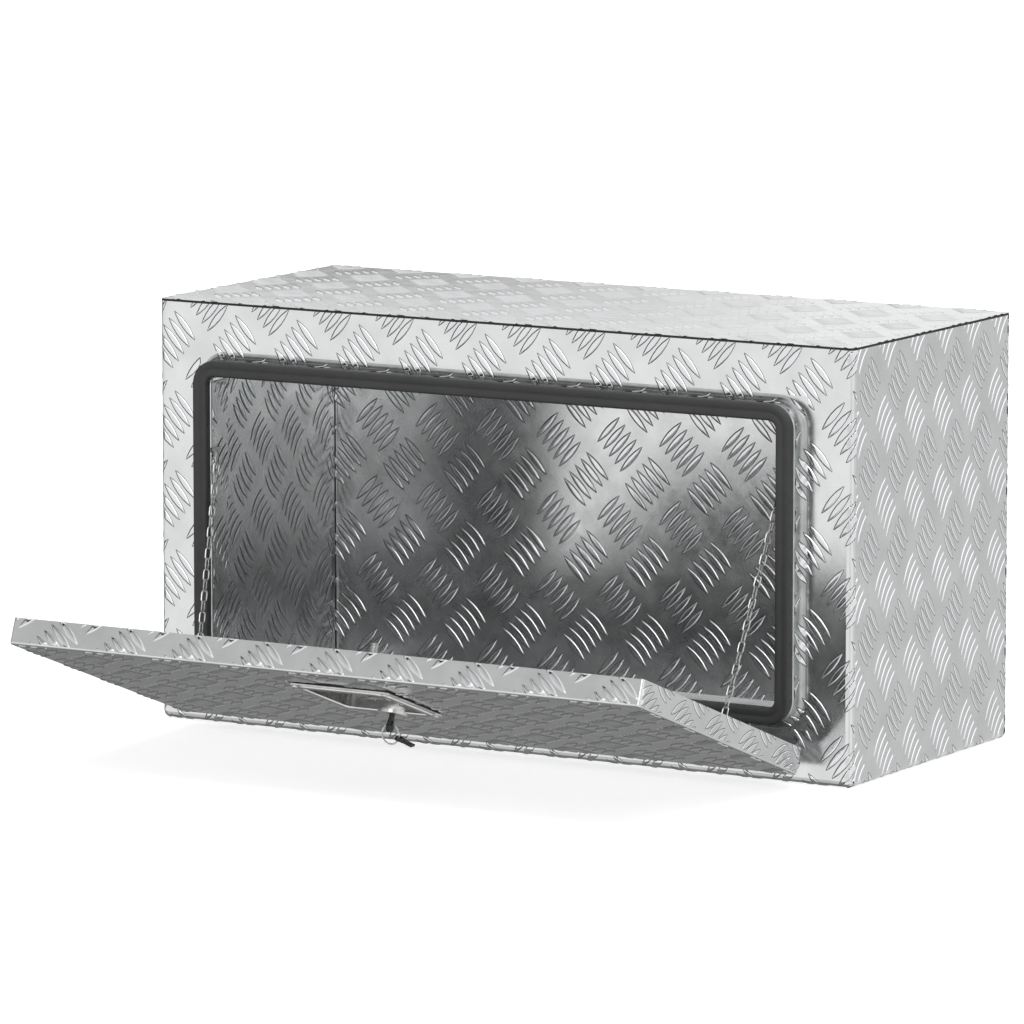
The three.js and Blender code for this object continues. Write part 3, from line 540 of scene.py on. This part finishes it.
def panel_tread(name, tread_pattern, regions, side, inside=False):
    """Bars over one wall of the body, outside or inside, with its rounded edges."""
    to_world, flat_half, core, upright, handed = side
    radius = INNER_CORNER if inside else CORNER
    out = -1 if inside else 1
    origin = Vector(to_world(0, core + radius, 0))
    axis_u = Vector(to_world(1, 0, 0))
    normal = Vector(to_world(0, out, 0))

    def capped(u, v):
        return not inside and not upright and abs(u) > flat_half - BEYOND

    tread(name, "box", tread_pattern, regions, (origin, axis_u, Z, normal), capped)
    distance, place = bend(flat_half, core, radius, out, upright, to_world)
    arc = radius * math.pi / 2
    window = (-flat_half - arc, flat_half + arc, CORNER - arc, HIGH)
    folded_tread(name + "_bend", "box", tread_pattern, window, distance, place, 0.0, arc, handed * out < 0)


def to_front(across, deep, z):
    return across, -deep, z


def to_back(across, deep, z):
    return across, deep, z


def to_right(across, deep, z):
    return deep, across, z


def to_left(across, deep, z):
    return -deep, across, z


# Each side of the body: its place in the world, half its flat width, the depth where its bends start,
# whether it has the upright bends, and which way round it lies
FRONT = (to_front, FLAT_HALF, SIDE_FLAT, True, 1)
BACK = (to_back, FLAT_HALF, SIDE_FLAT, True, -1)
RIGHT = (to_right, SIDE_FLAT, FLAT_HALF, False, 1)
LEFT = (to_left, SIDE_FLAT, FLAT_HALF, False, -1)

wide_wall = [box_region(-FLAT_HALF, FLAT_HALF, CORNER, HIGH)]
side_wall = [box_region(-SIDE_FLAT, SIDE_FLAT, CORNER, HIGH)]
front_wall = round_hole_regions(-FLAT_HALF, FLAT_HALF, CORNER, HIGH, **hole)
# The band below the opening, the third region, is plain where the hinge lies
half_u, low = hole["half_u"], hole["low"]
front_wall[2:3] = [box_region(-half_u, half_u, CORNER, HINGE_LOW),
                   box_region(-half_u, -HINGE_HALF, HINGE_LOW, low),
                   box_region(HINGE_HALF, half_u, HINGE_LOW, low)]
panel_tread("tread_front", front_pattern, front_wall, FRONT)
panel_tread("tread_back", back_pattern, wide_wall, BACK)
panel_tread("tread_right", side_pattern, side_wall, RIGHT)
panel_tread("tread_left", side_pattern, side_wall, LEFT)
panel_tread("tread_inside_back", back_pattern, wide_wall, BACK, inside=True)
panel_tread("tread_inside_right", inner_side_pattern, side_wall, RIGHT, inside=True)
panel_tread("tread_inside_left", inner_side_pattern, side_wall, LEFT, inside=True)
# The top bars' ends at the plate's edge are closed in near black, painted shade
tread("tread_top", "box", top_pattern, [rounded_region(HALF_W, HALF_D, CORNER)], ((0, 0, HEIGHT), X, Y, Z),
      end_material=painted_shade_and_dark_seam)
floor_plate = [box_region(-FLAT_HALF, FLAT_HALF, -SIDE_FLAT, SIDE_FLAT)]
tread("tread_bottom", "box", top_pattern, floor_plate, ((0, 0, 0), X, Y, NZ), never)
tread("tread_inside_bottom", "box", top_pattern, floor_plate, ((0, 0, SHEET), X, Y, Z), never)
tread("tread_inside_top", "box", top_pattern, floor_plate, ((0, 0, HEIGHT - SHEET), X, Y, NZ), never)


def outline_place(x, z):
    """Distance out from the door opening's outline, with the direction out and the nearest point on it."""
    mid = (OPEN_LOW + OPEN_HIGH) / 2
    cx, cz = OPEN_HALF_W - OPEN_CORNER, (OPEN_HIGH - OPEN_LOW) / 2 - OPEN_CORNER
    sx, sz = (1 if x > 0 else -1), (1 if z > mid else -1)
    dx, dz = abs(x) - cx, abs(z - mid) - cz
    if dx > 0 and dz > 0:
        length = math.hypot(dx, dz)
        g = (sx * dx / length, sz * dz / length)
        base = (sx * cx + OPEN_CORNER * g[0], mid + sz * cz + OPEN_CORNER * g[1])
        return length - OPEN_CORNER, g, base
    if dx > dz:
        return dx - OPEN_CORNER, (sx, 0), (sx * OPEN_HALF_W, z)
    return dz - OPEN_CORNER, (0, sz), (x, mid + sz * (cz + OPEN_CORNER))


def outline_distance(x, z):
    """Distance out from the door opening's outline alone."""
    return outline_place(x, z)[0]


def onto_channel(u, v, h):
    """Folds a point of the flat front out over the channel's root bend and along its wall."""
    o, g, base = outline_place(u, v)
    o = max(ZONE_INNER, o)
    s = ROOT_BEND - o
    turn = max(0.0, min(s / ROOT_BEND, math.pi / 2))
    off = max(o, ROOT_BEND) - ROOT_BEND * math.sin(turn)
    y = -HALF_D - ROOT_BEND * (1 - math.cos(turn)) - max(0.0, s - WALL_ARC)
    reach = off + h * math.sin(turn)
    return base[0] + g[0] * reach, y - h * math.cos(turn), base[1] + g[1] * reach


reach_out = OPEN_HALF_W + ZONE_OUTER
channel_window = (-reach_out, reach_out, OPEN_LOW - ZONE_OUTER, OPEN_HIGH + ZONE_OUTER)
folded_tread("tread_door_frame", "box", front_pattern, channel_window, outline_distance, onto_channel,
             ZONE_INNER, ZONE_OUTER)


# Door frame and seal
def arc_points(centre, radius, start, stop, steps):
    """Points of an arc from one angle to another, in degrees."""
    return [(centre[0] + radius * math.cos(math.radians(start + (stop - start) * k / steps)),
             centre[1] + radius * math.sin(math.radians(start + (stop - start) * k / steps)))
            for k in range(steps + 1)]


def round_path(half_w, low, high, corner, steps):
    """Points of a rounded rectangle in x and z, with the direction out at each."""
    mid, half_h = (low + high) / 2, (high - low) / 2
    for quarter, (sx, sz) in enumerate(((1, 1), (-1, 1), (-1, -1), (1, -1))):
        for k in range(steps + 1):
            a = (quarter + k / steps) * math.pi / 2
            yield (sx * (half_w - corner), mid + sz * (half_h - corner), math.cos(a), math.sin(a))


def ring_faces(rings, points):
    """Faces between neighbouring rings of points, with the last ring joined to the first."""
    faces = []
    for i in range(rings):
        start, following = i * points, (i + 1) % rings * points
        for j in range(points):
            beside = (j + 1) % points
            faces.append([start + j, following + j, following + beside, start + beside])
    return faces


def sweep_round(profile, half_w, low, high, corner, steps=18):
    """Sweeps (offset, y) points round a rounded rectangle in x and z."""
    rings = list(round_path(half_w, low, high, corner, steps))
    verts = [(cx + (corner + offset) * gx, y, cz + (corner + offset) * gz)
             for cx, cz, gx, gz in rings for offset, y in profile]
    return verts, ring_faces(len(rings), len(profile))


SMOOTH_ANGLE = math.radians(35)
MERGE_DRESS = 0.000005


def dress(name, body, slot, verts, faces, material, *replaced):
    """Makes a piece with even normals and smooth bends, which may replace CAD nodes."""
    obj = mesh_object(name, verts, (faces, material, False))
    bm = bmesh.new()
    bm.from_mesh(obj.data)
    bmesh.ops.remove_doubles(bm, verts=bm.verts, dist=MERGE_DRESS)
    bmesh.ops.recalc_face_normals(bm, faces=bm.faces)
    bm.to_mesh(obj.data)
    bm.free()
    bpy.context.view_layer.objects.active = obj
    obj.select_set(True)
    bpy.ops.object.shade_smooth_by_angle(angle=SMOOTH_ANGLE)
    obj.select_set(False)
    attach(obj, body)
    if replaced:
        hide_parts(*replaced)
    return obj


front_y = -HALF_D
lip_y = front_y - STAND_OUT
return_y = front_y + RETURN_BACK
root = (ROOT_BEND, front_y - ROOT_BEND)
lip_out = (-LIP_BEND, lip_y + LIP_BEND)
lip_in = (-LIP + LIP_BEND, lip_y + LIP_BEND)
# The channel's foot ends just short of where the flat front's bars start
FOOT_GAP = 0.02
foot = ZONE_OUTER - FOOT_GAP
profile = [(foot, front_y)] + arc_points(root, ROOT_BEND, 90, 180, 8)
profile += arc_points(lip_out, LIP_BEND, 0, -90, 6) + arc_points(lip_in, LIP_BEND, -90, -180, 6)
profile += [(-LIP, return_y), (-LIP + SHEET, return_y)]
profile += arc_points(lip_in, LIP_BEND - SHEET, 180, 270, 3)
profile += arc_points(lip_out, LIP_BEND - SHEET, 270, 360, 3)
profile += arc_points(root, ROOT_BEND + SHEET, 180, 90, 6) + [(foot, front_y + SHEET)]
verts, faces = sweep_round(profile, OPEN_HALF_W, OPEN_LOW, OPEN_HIGH, OPEN_CORNER)
channel = dress("door_frame_channel", "box", "tread_plate", verts, faces, channel_painted_shade, "door_frame")
# The inner half of its lip and its returned edge are plain plate, without the channel's painted shade
channel.data.materials.append(plate)
for polygon in channel.data.polygons:
    if outline_distance(polygon.center.x / MM, polygon.center.z / MM) < -LIP / 2:
        polygon.material_index = 1

# Bars on the returned edge keep this far from its ends
RETURN_MARGIN = 0.5
for side_name, sx, normal in (("left", -1, X), ("right", 1, NX)):
    strip = box_region(lip_in[1] + RETURN_MARGIN, return_y - RETURN_MARGIN,
                       OPEN_LOW + OPEN_CORNER, OPEN_HIGH - OPEN_CORNER)
    tread("tread_return_" + side_name, "box", inner_side_pattern, [strip],
          ((sx * (OPEN_HALF_W - LIP), 0, 0), Y, Z, normal))

# The seal has round front edges, chamfered back edges and a shallow groove along its middle
SEAL_ROUND = 2.4
SEAL_CHAMFER = 1.0
GROOVE_TOP = 1.6
GROOVE_FLOOR = 1.0
GROOVE_DEPTH = 0.35
seal_back = lip_y - SEAM
seal_front = seal_back - SEAL
seal_mid = -LIP / 2
groove_y = seal_front + GROOVE_DEPTH
profile = [(-SEAM, seal_back), (0.0, seal_back - SEAL_CHAMFER)]
profile += arc_points((-SEAL_ROUND, seal_front + SEAL_ROUND), SEAL_ROUND, 0, -90, 6)
profile += [(seal_mid + GROOVE_TOP, seal_front), (seal_mid + GROOVE_FLOOR, groove_y),
            (seal_mid - GROOVE_FLOOR, groove_y), (seal_mid - GROOVE_TOP, seal_front)]
profile += arc_points((-LIP + SEAL_ROUND, seal_front + SEAL_ROUND), SEAL_ROUND, -90, -180, 6)
profile += [(-LIP, seal_back - SEAL_CHAMFER), (-LIP + SEAM, seal_back)]
verts, faces = sweep_round(profile, OPEN_HALF_W, OPEN_LOW, OPEN_HIGH, OPEN_CORNER)
dress("rubber_seal", "box", "seal_rubber", verts, faces, rubber,
      "door_seal_top", "door_seal_bottom", "door_seal_left", "door_seal_right")


# Seams of the folded body
RIBBON_STEPS = 6
RIBBON_SINK = 0.3


def ribbon(name, z0, z1, out, material):
    """A thin band round the body's outline, from inside its surface to a little outside."""
    verts = []
    section = ((-RIBBON_SINK, z0), (out, z0), (out, z1), (-RIBBON_SINK, z1))
    for quarter, (sx, sy) in enumerate(((1, 1), (-1, 1), (-1, -1), (1, -1))):
        for k in range(RIBBON_STEPS + 1):
            a = (quarter + k / RIBBON_STEPS) * math.pi / 2
            for offset, z in section:
                verts.append((sx * (HALF_W - CORNER) + (CORNER + offset) * math.cos(a),
                              sy * (HALF_D - CORNER) + (CORNER + offset) * math.sin(a), z))
    dress(name, "box", "tread_plate", verts, ring_faces(len(verts) // 4, 4), material)


def post(name, outline, material):
    """An upright seam with four sides, from the lower bend to the top of the walls."""
    verts = [(x, y, z) for z in (CORNER, HIGH) for x, y in outline]
    sides = [[i, (i + 1) % 4, (i + 1) % 4 + 4, i + 4] for i in range(4)]
    dress(name, "box", "tread_plate", verts, [[3, 2, 1, 0], [4, 5, 6, 7]] + sides, material)


# The top plate's edge, painted near black as shade: below its upper face, past its lower face, and proud of
# the walls
EDGE_TOP, EDGE_UNDER, EDGE_PROUD = 0.02, 0.1, 0.04
ribbon("top_edge_painted_shade", HEIGHT - SHEET - EDGE_UNDER, HEIGHT - EDGE_TOP, EDGE_PROUD, painted_shade_and_dark_seam)
# The line above the lower bend: under and over the bend's end, and proud of the walls
LINE_UNDER, LINE_OVER, LINE_PROUD = 0.1, 0.4, 0.02
ribbon("lower_bend_seam", CORNER - LINE_UNDER, CORNER + LINE_OVER, LINE_PROUD, plate)

# A corner seam's edges across the side panel, sunk and proud, and along it, either side of the bend's end
SEAM_SUNK, SEAM_PROUD = 0.3, 0.02
SEAM_INWARD, SEAM_OUTWARD = 0.4, 0.1
for side_name, sx in (("left", -1), ("right", 1)):
    for end_name, sy in (("front", -1), ("back", 1)):
        x0, x1 = sorted((sx * (HALF_W - SEAM_SUNK), sx * (HALF_W + SEAM_PROUD)))
        y0, y1 = sorted((sy * (SIDE_FLAT - SEAM_INWARD), sy * (SIDE_FLAT + SEAM_OUTWARD)))
        post("corner_seam_%s_%s" % (side_name, end_name), ((x0, y0), (x1, y0), (x1, y1), (x0, y1)), plate)

# The dark seam in each back corner inside lies across the rounded corner's middle
SEAM_SECTION = ((0.35, -0.6), (-0.6, 0.35), (-0.3, 0.65), (0.65, -0.3))
for side_name, sx in (("left", -1), ("right", 1)):
    middle = INNER_CORNER * math.sqrt(0.5)
    x, y = sx * (FLAT_HALF + middle), SIDE_FLAT + middle
    post("inner_corner_seam_" + side_name, [(x + sx * a, y + b) for a, b in SEAM_SECTION], painted_shade_and_dark_seam)


# Door tread
def door_axes(origin, axis_u, axis_v, normal):
    """A plane for tread, given in the door's own frame."""
    return door_point(origin), door_vector(axis_u), door_vector(axis_v), door_vector(normal)


# Bars keep this far from the door's edges, and from the ends of its rims
DOOR_EDGE = 2.5
RIM_EDGE = 0.2
# The latch's place, and half the square in the tread that it takes outside and inside
LATCH_X = -8.0
LATCH_Z = DOOR_LOW + 210.0
LATCH_OUTSIDE = 54.5
LATCH_INSIDE = 50.0


def with_latch_hole(half):
    """The door's face round a square hole for the latch."""
    left, right = LATCH_X - half, LATCH_X + half
    low, high = LATCH_Z - half, LATCH_Z + half
    return [box_region(-door_u, left, door_v0, door_v1), box_region(right, door_u, door_v0, door_v1),
            box_region(left, right, door_v0, low), box_region(left, right, high, door_v1)]


door_u, door_v0, door_v1 = DOOR_HALF_W - DOOR_EDGE, DOOR_LOW + DOOR_EDGE, DOOR_HIGH - DOOR_EDGE
outer_door = with_latch_hole(LATCH_OUTSIDE)
inner_door = with_latch_hole(LATCH_INSIDE)
tread("tread_door_outside", "door", door_pattern, outer_door, door_axes((0, DOOR_FACE, 0), X, Z, NY))
tread("tread_door_inside", "door", door_pattern, inner_door,
      door_axes((0, DOOR_FACE + SHEET, 0), X, Z, Y), never)
rim0, rim1 = DOOR_FACE + DOOR_EDGE, DOOR_FACE + DOOR_DEPTH - RIM_EDGE
for rim_name, z, normal in (("top", DOOR_HIGH, Z), ("bottom", DOOR_LOW, NZ)):
    strip = box_region(-door_u, door_u, rim0, rim1)
    tread("tread_door_%s_rim" % rim_name, "door", rim_pattern, [strip], door_axes((0, 0, z), X, Y, normal))
for rim_name, sign, normal in (("right", 1, X), ("left", -1, NX)):
    strip = box_region(door_v0, door_v1, rim0, rim1)
    tread("tread_door_%s_rim" % rim_name, "door", rim_side_pattern, [strip],
          door_axes((sign * DOOR_HALF_W, 0, 0), Z, Y, normal))


# Latch details
def latch_point(x, y, z):
    """A point from the middle of the latch's hole in the door face, y into the box."""
    return door_point((LATCH_X + x, DOOR_FACE + y, LATCH_Z + z))


PLATE_FRONT = -3.1
DISH_HALF = 46.0
DISH_CORNER = 8.0
# The bead round the dish, whose middle lies this far out from the dish and under the plate's front
BEAD_OUT, BEAD_SUNK = 1.6, 0.4
BEAD_RADIUS = 2.6
profile = arc_points((BEAD_OUT, PLATE_FRONT + BEAD_SUNK), BEAD_RADIUS, 190, 350, 10)
verts, faces = sweep_round(profile, DISH_HALF, -DISH_HALF, DISH_HALF, DISH_CORNER, 8)
verts = [latch_point(x, y, z) for x, y, z in verts]
dress("dish_lip", "door", "stainless_steel", verts, faces, stainless)

THREAD_START, THREAD_END, THREAD_PITCH = 38.8, 50.8, 1.5
# Place along the spindle and radius of each ring of a ridge
RIDGE = ((-0.6, 4.3), (0, 4.95), (0.6, 4.3))
SIDES = 24
verts, faces = [], []
turns = int((THREAD_END - THREAD_START) / THREAD_PITCH)
for k in range(turns + 1):
    for shift, radius in RIDGE:
        for i in range(SIDES):
            a = 2 * math.pi * i / SIDES
            y = THREAD_START + (k + 0.5) * THREAD_PITCH + shift
            verts.append(latch_point(radius * math.cos(a), min(y, THREAD_END), radius * math.sin(a)))
    base = k * len(RIDGE) * SIDES
    for row in range(len(RIDGE)):
        for i in range(SIDES):
            j = (i + 1) % SIDES
            a, b = base + row * SIDES, base + (row + 1) % len(RIDGE) * SIDES
            faces.append([a + i, a + j, b + j, b + i])
dress("spindle_thread", "spindle", "zinc_plated_steel", verts, faces, zinc)


# Camera, fitted to the photograph
AZIMUTH = math.radians(30.5428)
ELEVATION = math.radians(8.4797)
CAMERA_PLACE = (3.7123, -6.4244, 1.3167)
LENS = 272.87
SENSOR_WIDTH = 36.0
forward = Vector((-math.sin(AZIMUTH) * math.cos(ELEVATION), math.cos(AZIMUTH) * math.cos(ELEVATION),
                  -math.sin(ELEVATION)))
right = Vector((math.cos(AZIMUTH), math.sin(AZIMUTH), 0))
up = right.cross(forward)
camera_data = bpy.data.cameras.new("camera")
camera_data.lens = LENS
camera_data.sensor_width = SENSOR_WIDTH
camera_data.clip_end = 100.0
camera = bpy.data.objects.new("camera", camera_data)
scene.collection.objects.link(camera)
rotation = Matrix((right, up, -forward)).transposed().to_4x4()
camera.matrix_world = Matrix.Translation(Vector(CAMERA_PLACE)) @ rotation
scene.camera = camera


# Floor, world and lamps
def math_node(tree, operation, a, b):
    """A math node between two sockets."""
    node = tree.nodes.new("ShaderNodeMath")
    node.operation = operation
    tree.links.new(a, node.inputs[0])
    tree.links.new(b, node.inputs[1])
    return node.outputs[0]


def blend(tree, factor, low, high):
    """A number that is low where the factor is 0 and high where it is 1."""
    node = tree.nodes.new("ShaderNodeMix")
    tree.links.new(factor, node.inputs["Factor"])
    for socket, value in ((node.inputs["A"], low), (node.inputs["B"], high)):
        if isinstance(value, (int, float)):
            socket.default_value = value
        else:
            tree.links.new(value, socket)
    return node.outputs[0]


def stage_plane(name, verts, material):
    """A four-sided plane, in millimetres, that isn't part of the object."""
    obj = mesh_object(name, verts, ([[0, 1, 2, 3]], material, False))
    return obj


def emission_material(name):
    """A material without a shader yet, with its tree, its output and a glow to link to it."""
    material = bpy.data.materials.new(name)
    material.use_nodes = True
    tree = material.node_tree
    tree.nodes.clear()
    output = tree.nodes.new("ShaderNodeOutputMaterial")
    glow = tree.nodes.new("ShaderNodeEmission")
    return material, tree, output, glow


FLOOR_REACH = 20000.0
FLOOR_Z = -1.0
FLOOR_GREY = (0.62, 0.62, 0.62, 1)
# The floor's own glow for the camera, and the distances from the middle, in metres, where it starts
# and stops rising
GLOW_NEAR, GLOW_FAR = 0.72, 1.0
GLOW_START, GLOW_STOP = 0.9, 2.6

floor_material, tree, output, glow = emission_material("floor")
diffuse = tree.nodes.new("ShaderNodeBsdfDiffuse")
diffuse.inputs["Color"].default_value = FLOOR_GREY
path = tree.nodes.new("ShaderNodeLightPath")
coords = tree.nodes.new("ShaderNodeTexCoord")
centre = tree.nodes.new("ShaderNodeVectorMath")
centre.operation = "LENGTH"
tree.links.new(coords.outputs["Object"], centre.inputs[0])
away = centre.outputs["Value"]
lift = ramp(tree, away, low=GLOW_NEAR, high=GLOW_FAR, start=GLOW_START, stop=GLOW_STOP)
tree.links.new(math_node(tree, "MULTIPLY", path.outputs["Is Camera Ray"], lift), glow.inputs["Strength"])
lit = tree.nodes.new("ShaderNodeAddShader")
tree.links.new(diffuse.outputs[0], lit.inputs[0])
tree.links.new(glow.outputs[0], lit.inputs[1])
# Glossy rays pass through the floor to the world
see_through = tree.nodes.new("ShaderNodeBsdfTransparent")
choice = tree.nodes.new("ShaderNodeMixShader")
tree.links.new(path.outputs["Is Glossy Ray"], choice.inputs["Fac"])
tree.links.new(lit.outputs[0], choice.inputs[1])
tree.links.new(see_through.outputs[0], choice.inputs[2])
tree.links.new(choice.outputs[0], output.inputs["Surface"])
stage_plane("floor", ((-FLOOR_REACH, -FLOOR_REACH, FLOOR_Z), (FLOOR_REACH, -FLOOR_REACH, FLOOR_Z),
                      (FLOOR_REACH, FLOOR_REACH, FLOOR_Z), (-FLOOR_REACH, FLOOR_REACH, FLOOR_Z)),
            floor_material)

# A card behind the box that only metal sees, brighter to the right and upwards
CARD_LEFT, CARD_RIGHT = -1300.0, 0.0
CARD_Y = 450.0
CARD_LOW, CARD_HIGH = 300.0, 520.0
CARD_DARK, CARD_BRIGHT = 0.12, 0.9

fading_card, tree, output, glow = emission_material("fading_card")
coords = tree.nodes.new("ShaderNodeTexCoord")
parts = tree.nodes.new("ShaderNodeSeparateXYZ")
tree.links.new(coords.outputs["Object"], parts.inputs[0])
across = ramp(tree, parts.outputs["X"], low=CARD_DARK, high=CARD_BRIGHT, start=-0.75, stop=0.0)
upper = ramp(tree, parts.outputs["Z"], low=CARD_DARK, high=CARD_BRIGHT, start=0.44, stop=0.52)
tree.links.new(math_node(tree, "MAXIMUM", across, upper), glow.inputs["Strength"])
tree.links.new(glow.outputs[0], output.inputs["Surface"])
card = stage_plane("card_behind", ((CARD_LEFT, CARD_Y, CARD_LOW), (CARD_RIGHT, CARD_Y, CARD_LOW),
                                   (CARD_RIGHT, CARD_Y, CARD_HIGH), (CARD_LEFT, CARD_Y, CARD_HIGH)),
                   fading_card)
card.visible_camera = False
card.visible_diffuse = False
card.visible_shadow = False
card.visible_transmission = False

world = bpy.data.worlds.new("world")
scene.world = world
world.use_nodes = True
tree = world.node_tree
background = tree.nodes["Background"]
background.inputs["Color"].default_value = (1, 1, 1, 1)
path = tree.nodes.new("ShaderNodeLightPath")
coords = tree.nodes.new("ShaderNodeTexCoord")
upward = tree.nodes.new("ShaderNodeSeparateXYZ")
tree.links.new(coords.outputs["Generated"], upward.inputs[0])
# What metal sees isn't the white background: it is pale, a little darker upwards, with soft patches
level = ramp(tree, upward.outputs["Z"], low=0.95, high=0.88, start=0.3, stop=0.85)
# Direction of each patch, the angles from it where the patch is full and gone, and its level
PATCHES = (
    ((-0.45, 0.15, -0.88), 46, 60, 0.22),
    ((-0.95, 0.0, 0.2), 16, 34, 0.08),
    ((0.5, 0.86, -0.1), 20, 34, 0.64),
    ((0.50, -0.86, -0.15), 11, 24, 0.8),
    ((0.5, -0.82, 0.27), 9, 17, 0.25),
    ((0.52, -0.53, 0.67), 9, 21, 0.62),
    ((-0.5, -0.75, 0.44), 9, 20, 0.66),
    ((-0.48, -0.42, 0.77), 14, 29, 0.04),
    ((0.2, -0.86, 0.47), 10, 20, 2.4),
    ((0.85, 0.07, 0.52), 12, 24, 1.6),
)
# What everything else is lit by
DIFFUSE_LEVEL = 0.5
for axis, full, gone, value in PATCHES:
    dot = tree.nodes.new("ShaderNodeVectorMath")
    dot.operation = "DOT_PRODUCT"
    tree.links.new(coords.outputs["Generated"], dot.inputs[0])
    dot.inputs[1].default_value = Vector(axis).normalized()
    edge, heart = math.cos(math.radians(gone)), math.cos(math.radians(full))
    lobe = ramp(tree, dot.outputs["Value"], low=0.0, high=1.0, start=edge, stop=heart)
    level = blend(tree, lobe, level, value)
seen = math_node(tree, "MAXIMUM", path.outputs["Is Camera Ray"], path.outputs["Is Transmission Ray"])
surroundings = blend(tree, path.outputs["Is Glossy Ray"], DIFFUSE_LEVEL, level)
shown = blend(tree, seen, surroundings, 1.0)
tree.links.new(shown, background.inputs["Strength"])


def area(name, location, target, size, power):
    """A soft lamp that metal doesn't show."""
    data = bpy.data.lights.new(name, "AREA")
    data.shape = "RECTANGLE"
    data.size, data.size_y = size
    data.energy = power
    obj = bpy.data.objects.new(name, data)
    scene.collection.objects.link(obj)
    obj.location = location
    obj.rotation_euler = (Vector(target) - Vector(location)).to_track_quat("-Z", "Y").to_euler()
    obj.visible_glossy = False


area("top_light", location=(0.2, -0.6, 3.2), target=(0, 0, 0), size=(3.0, 3.0), power=60)
area("key_light", location=(1.6, -1.4, 2.1), target=(0.1, -0.1, 0.25), size=(1.2, 1.6), power=14)

scene.view_settings.view_transform = "Standard"
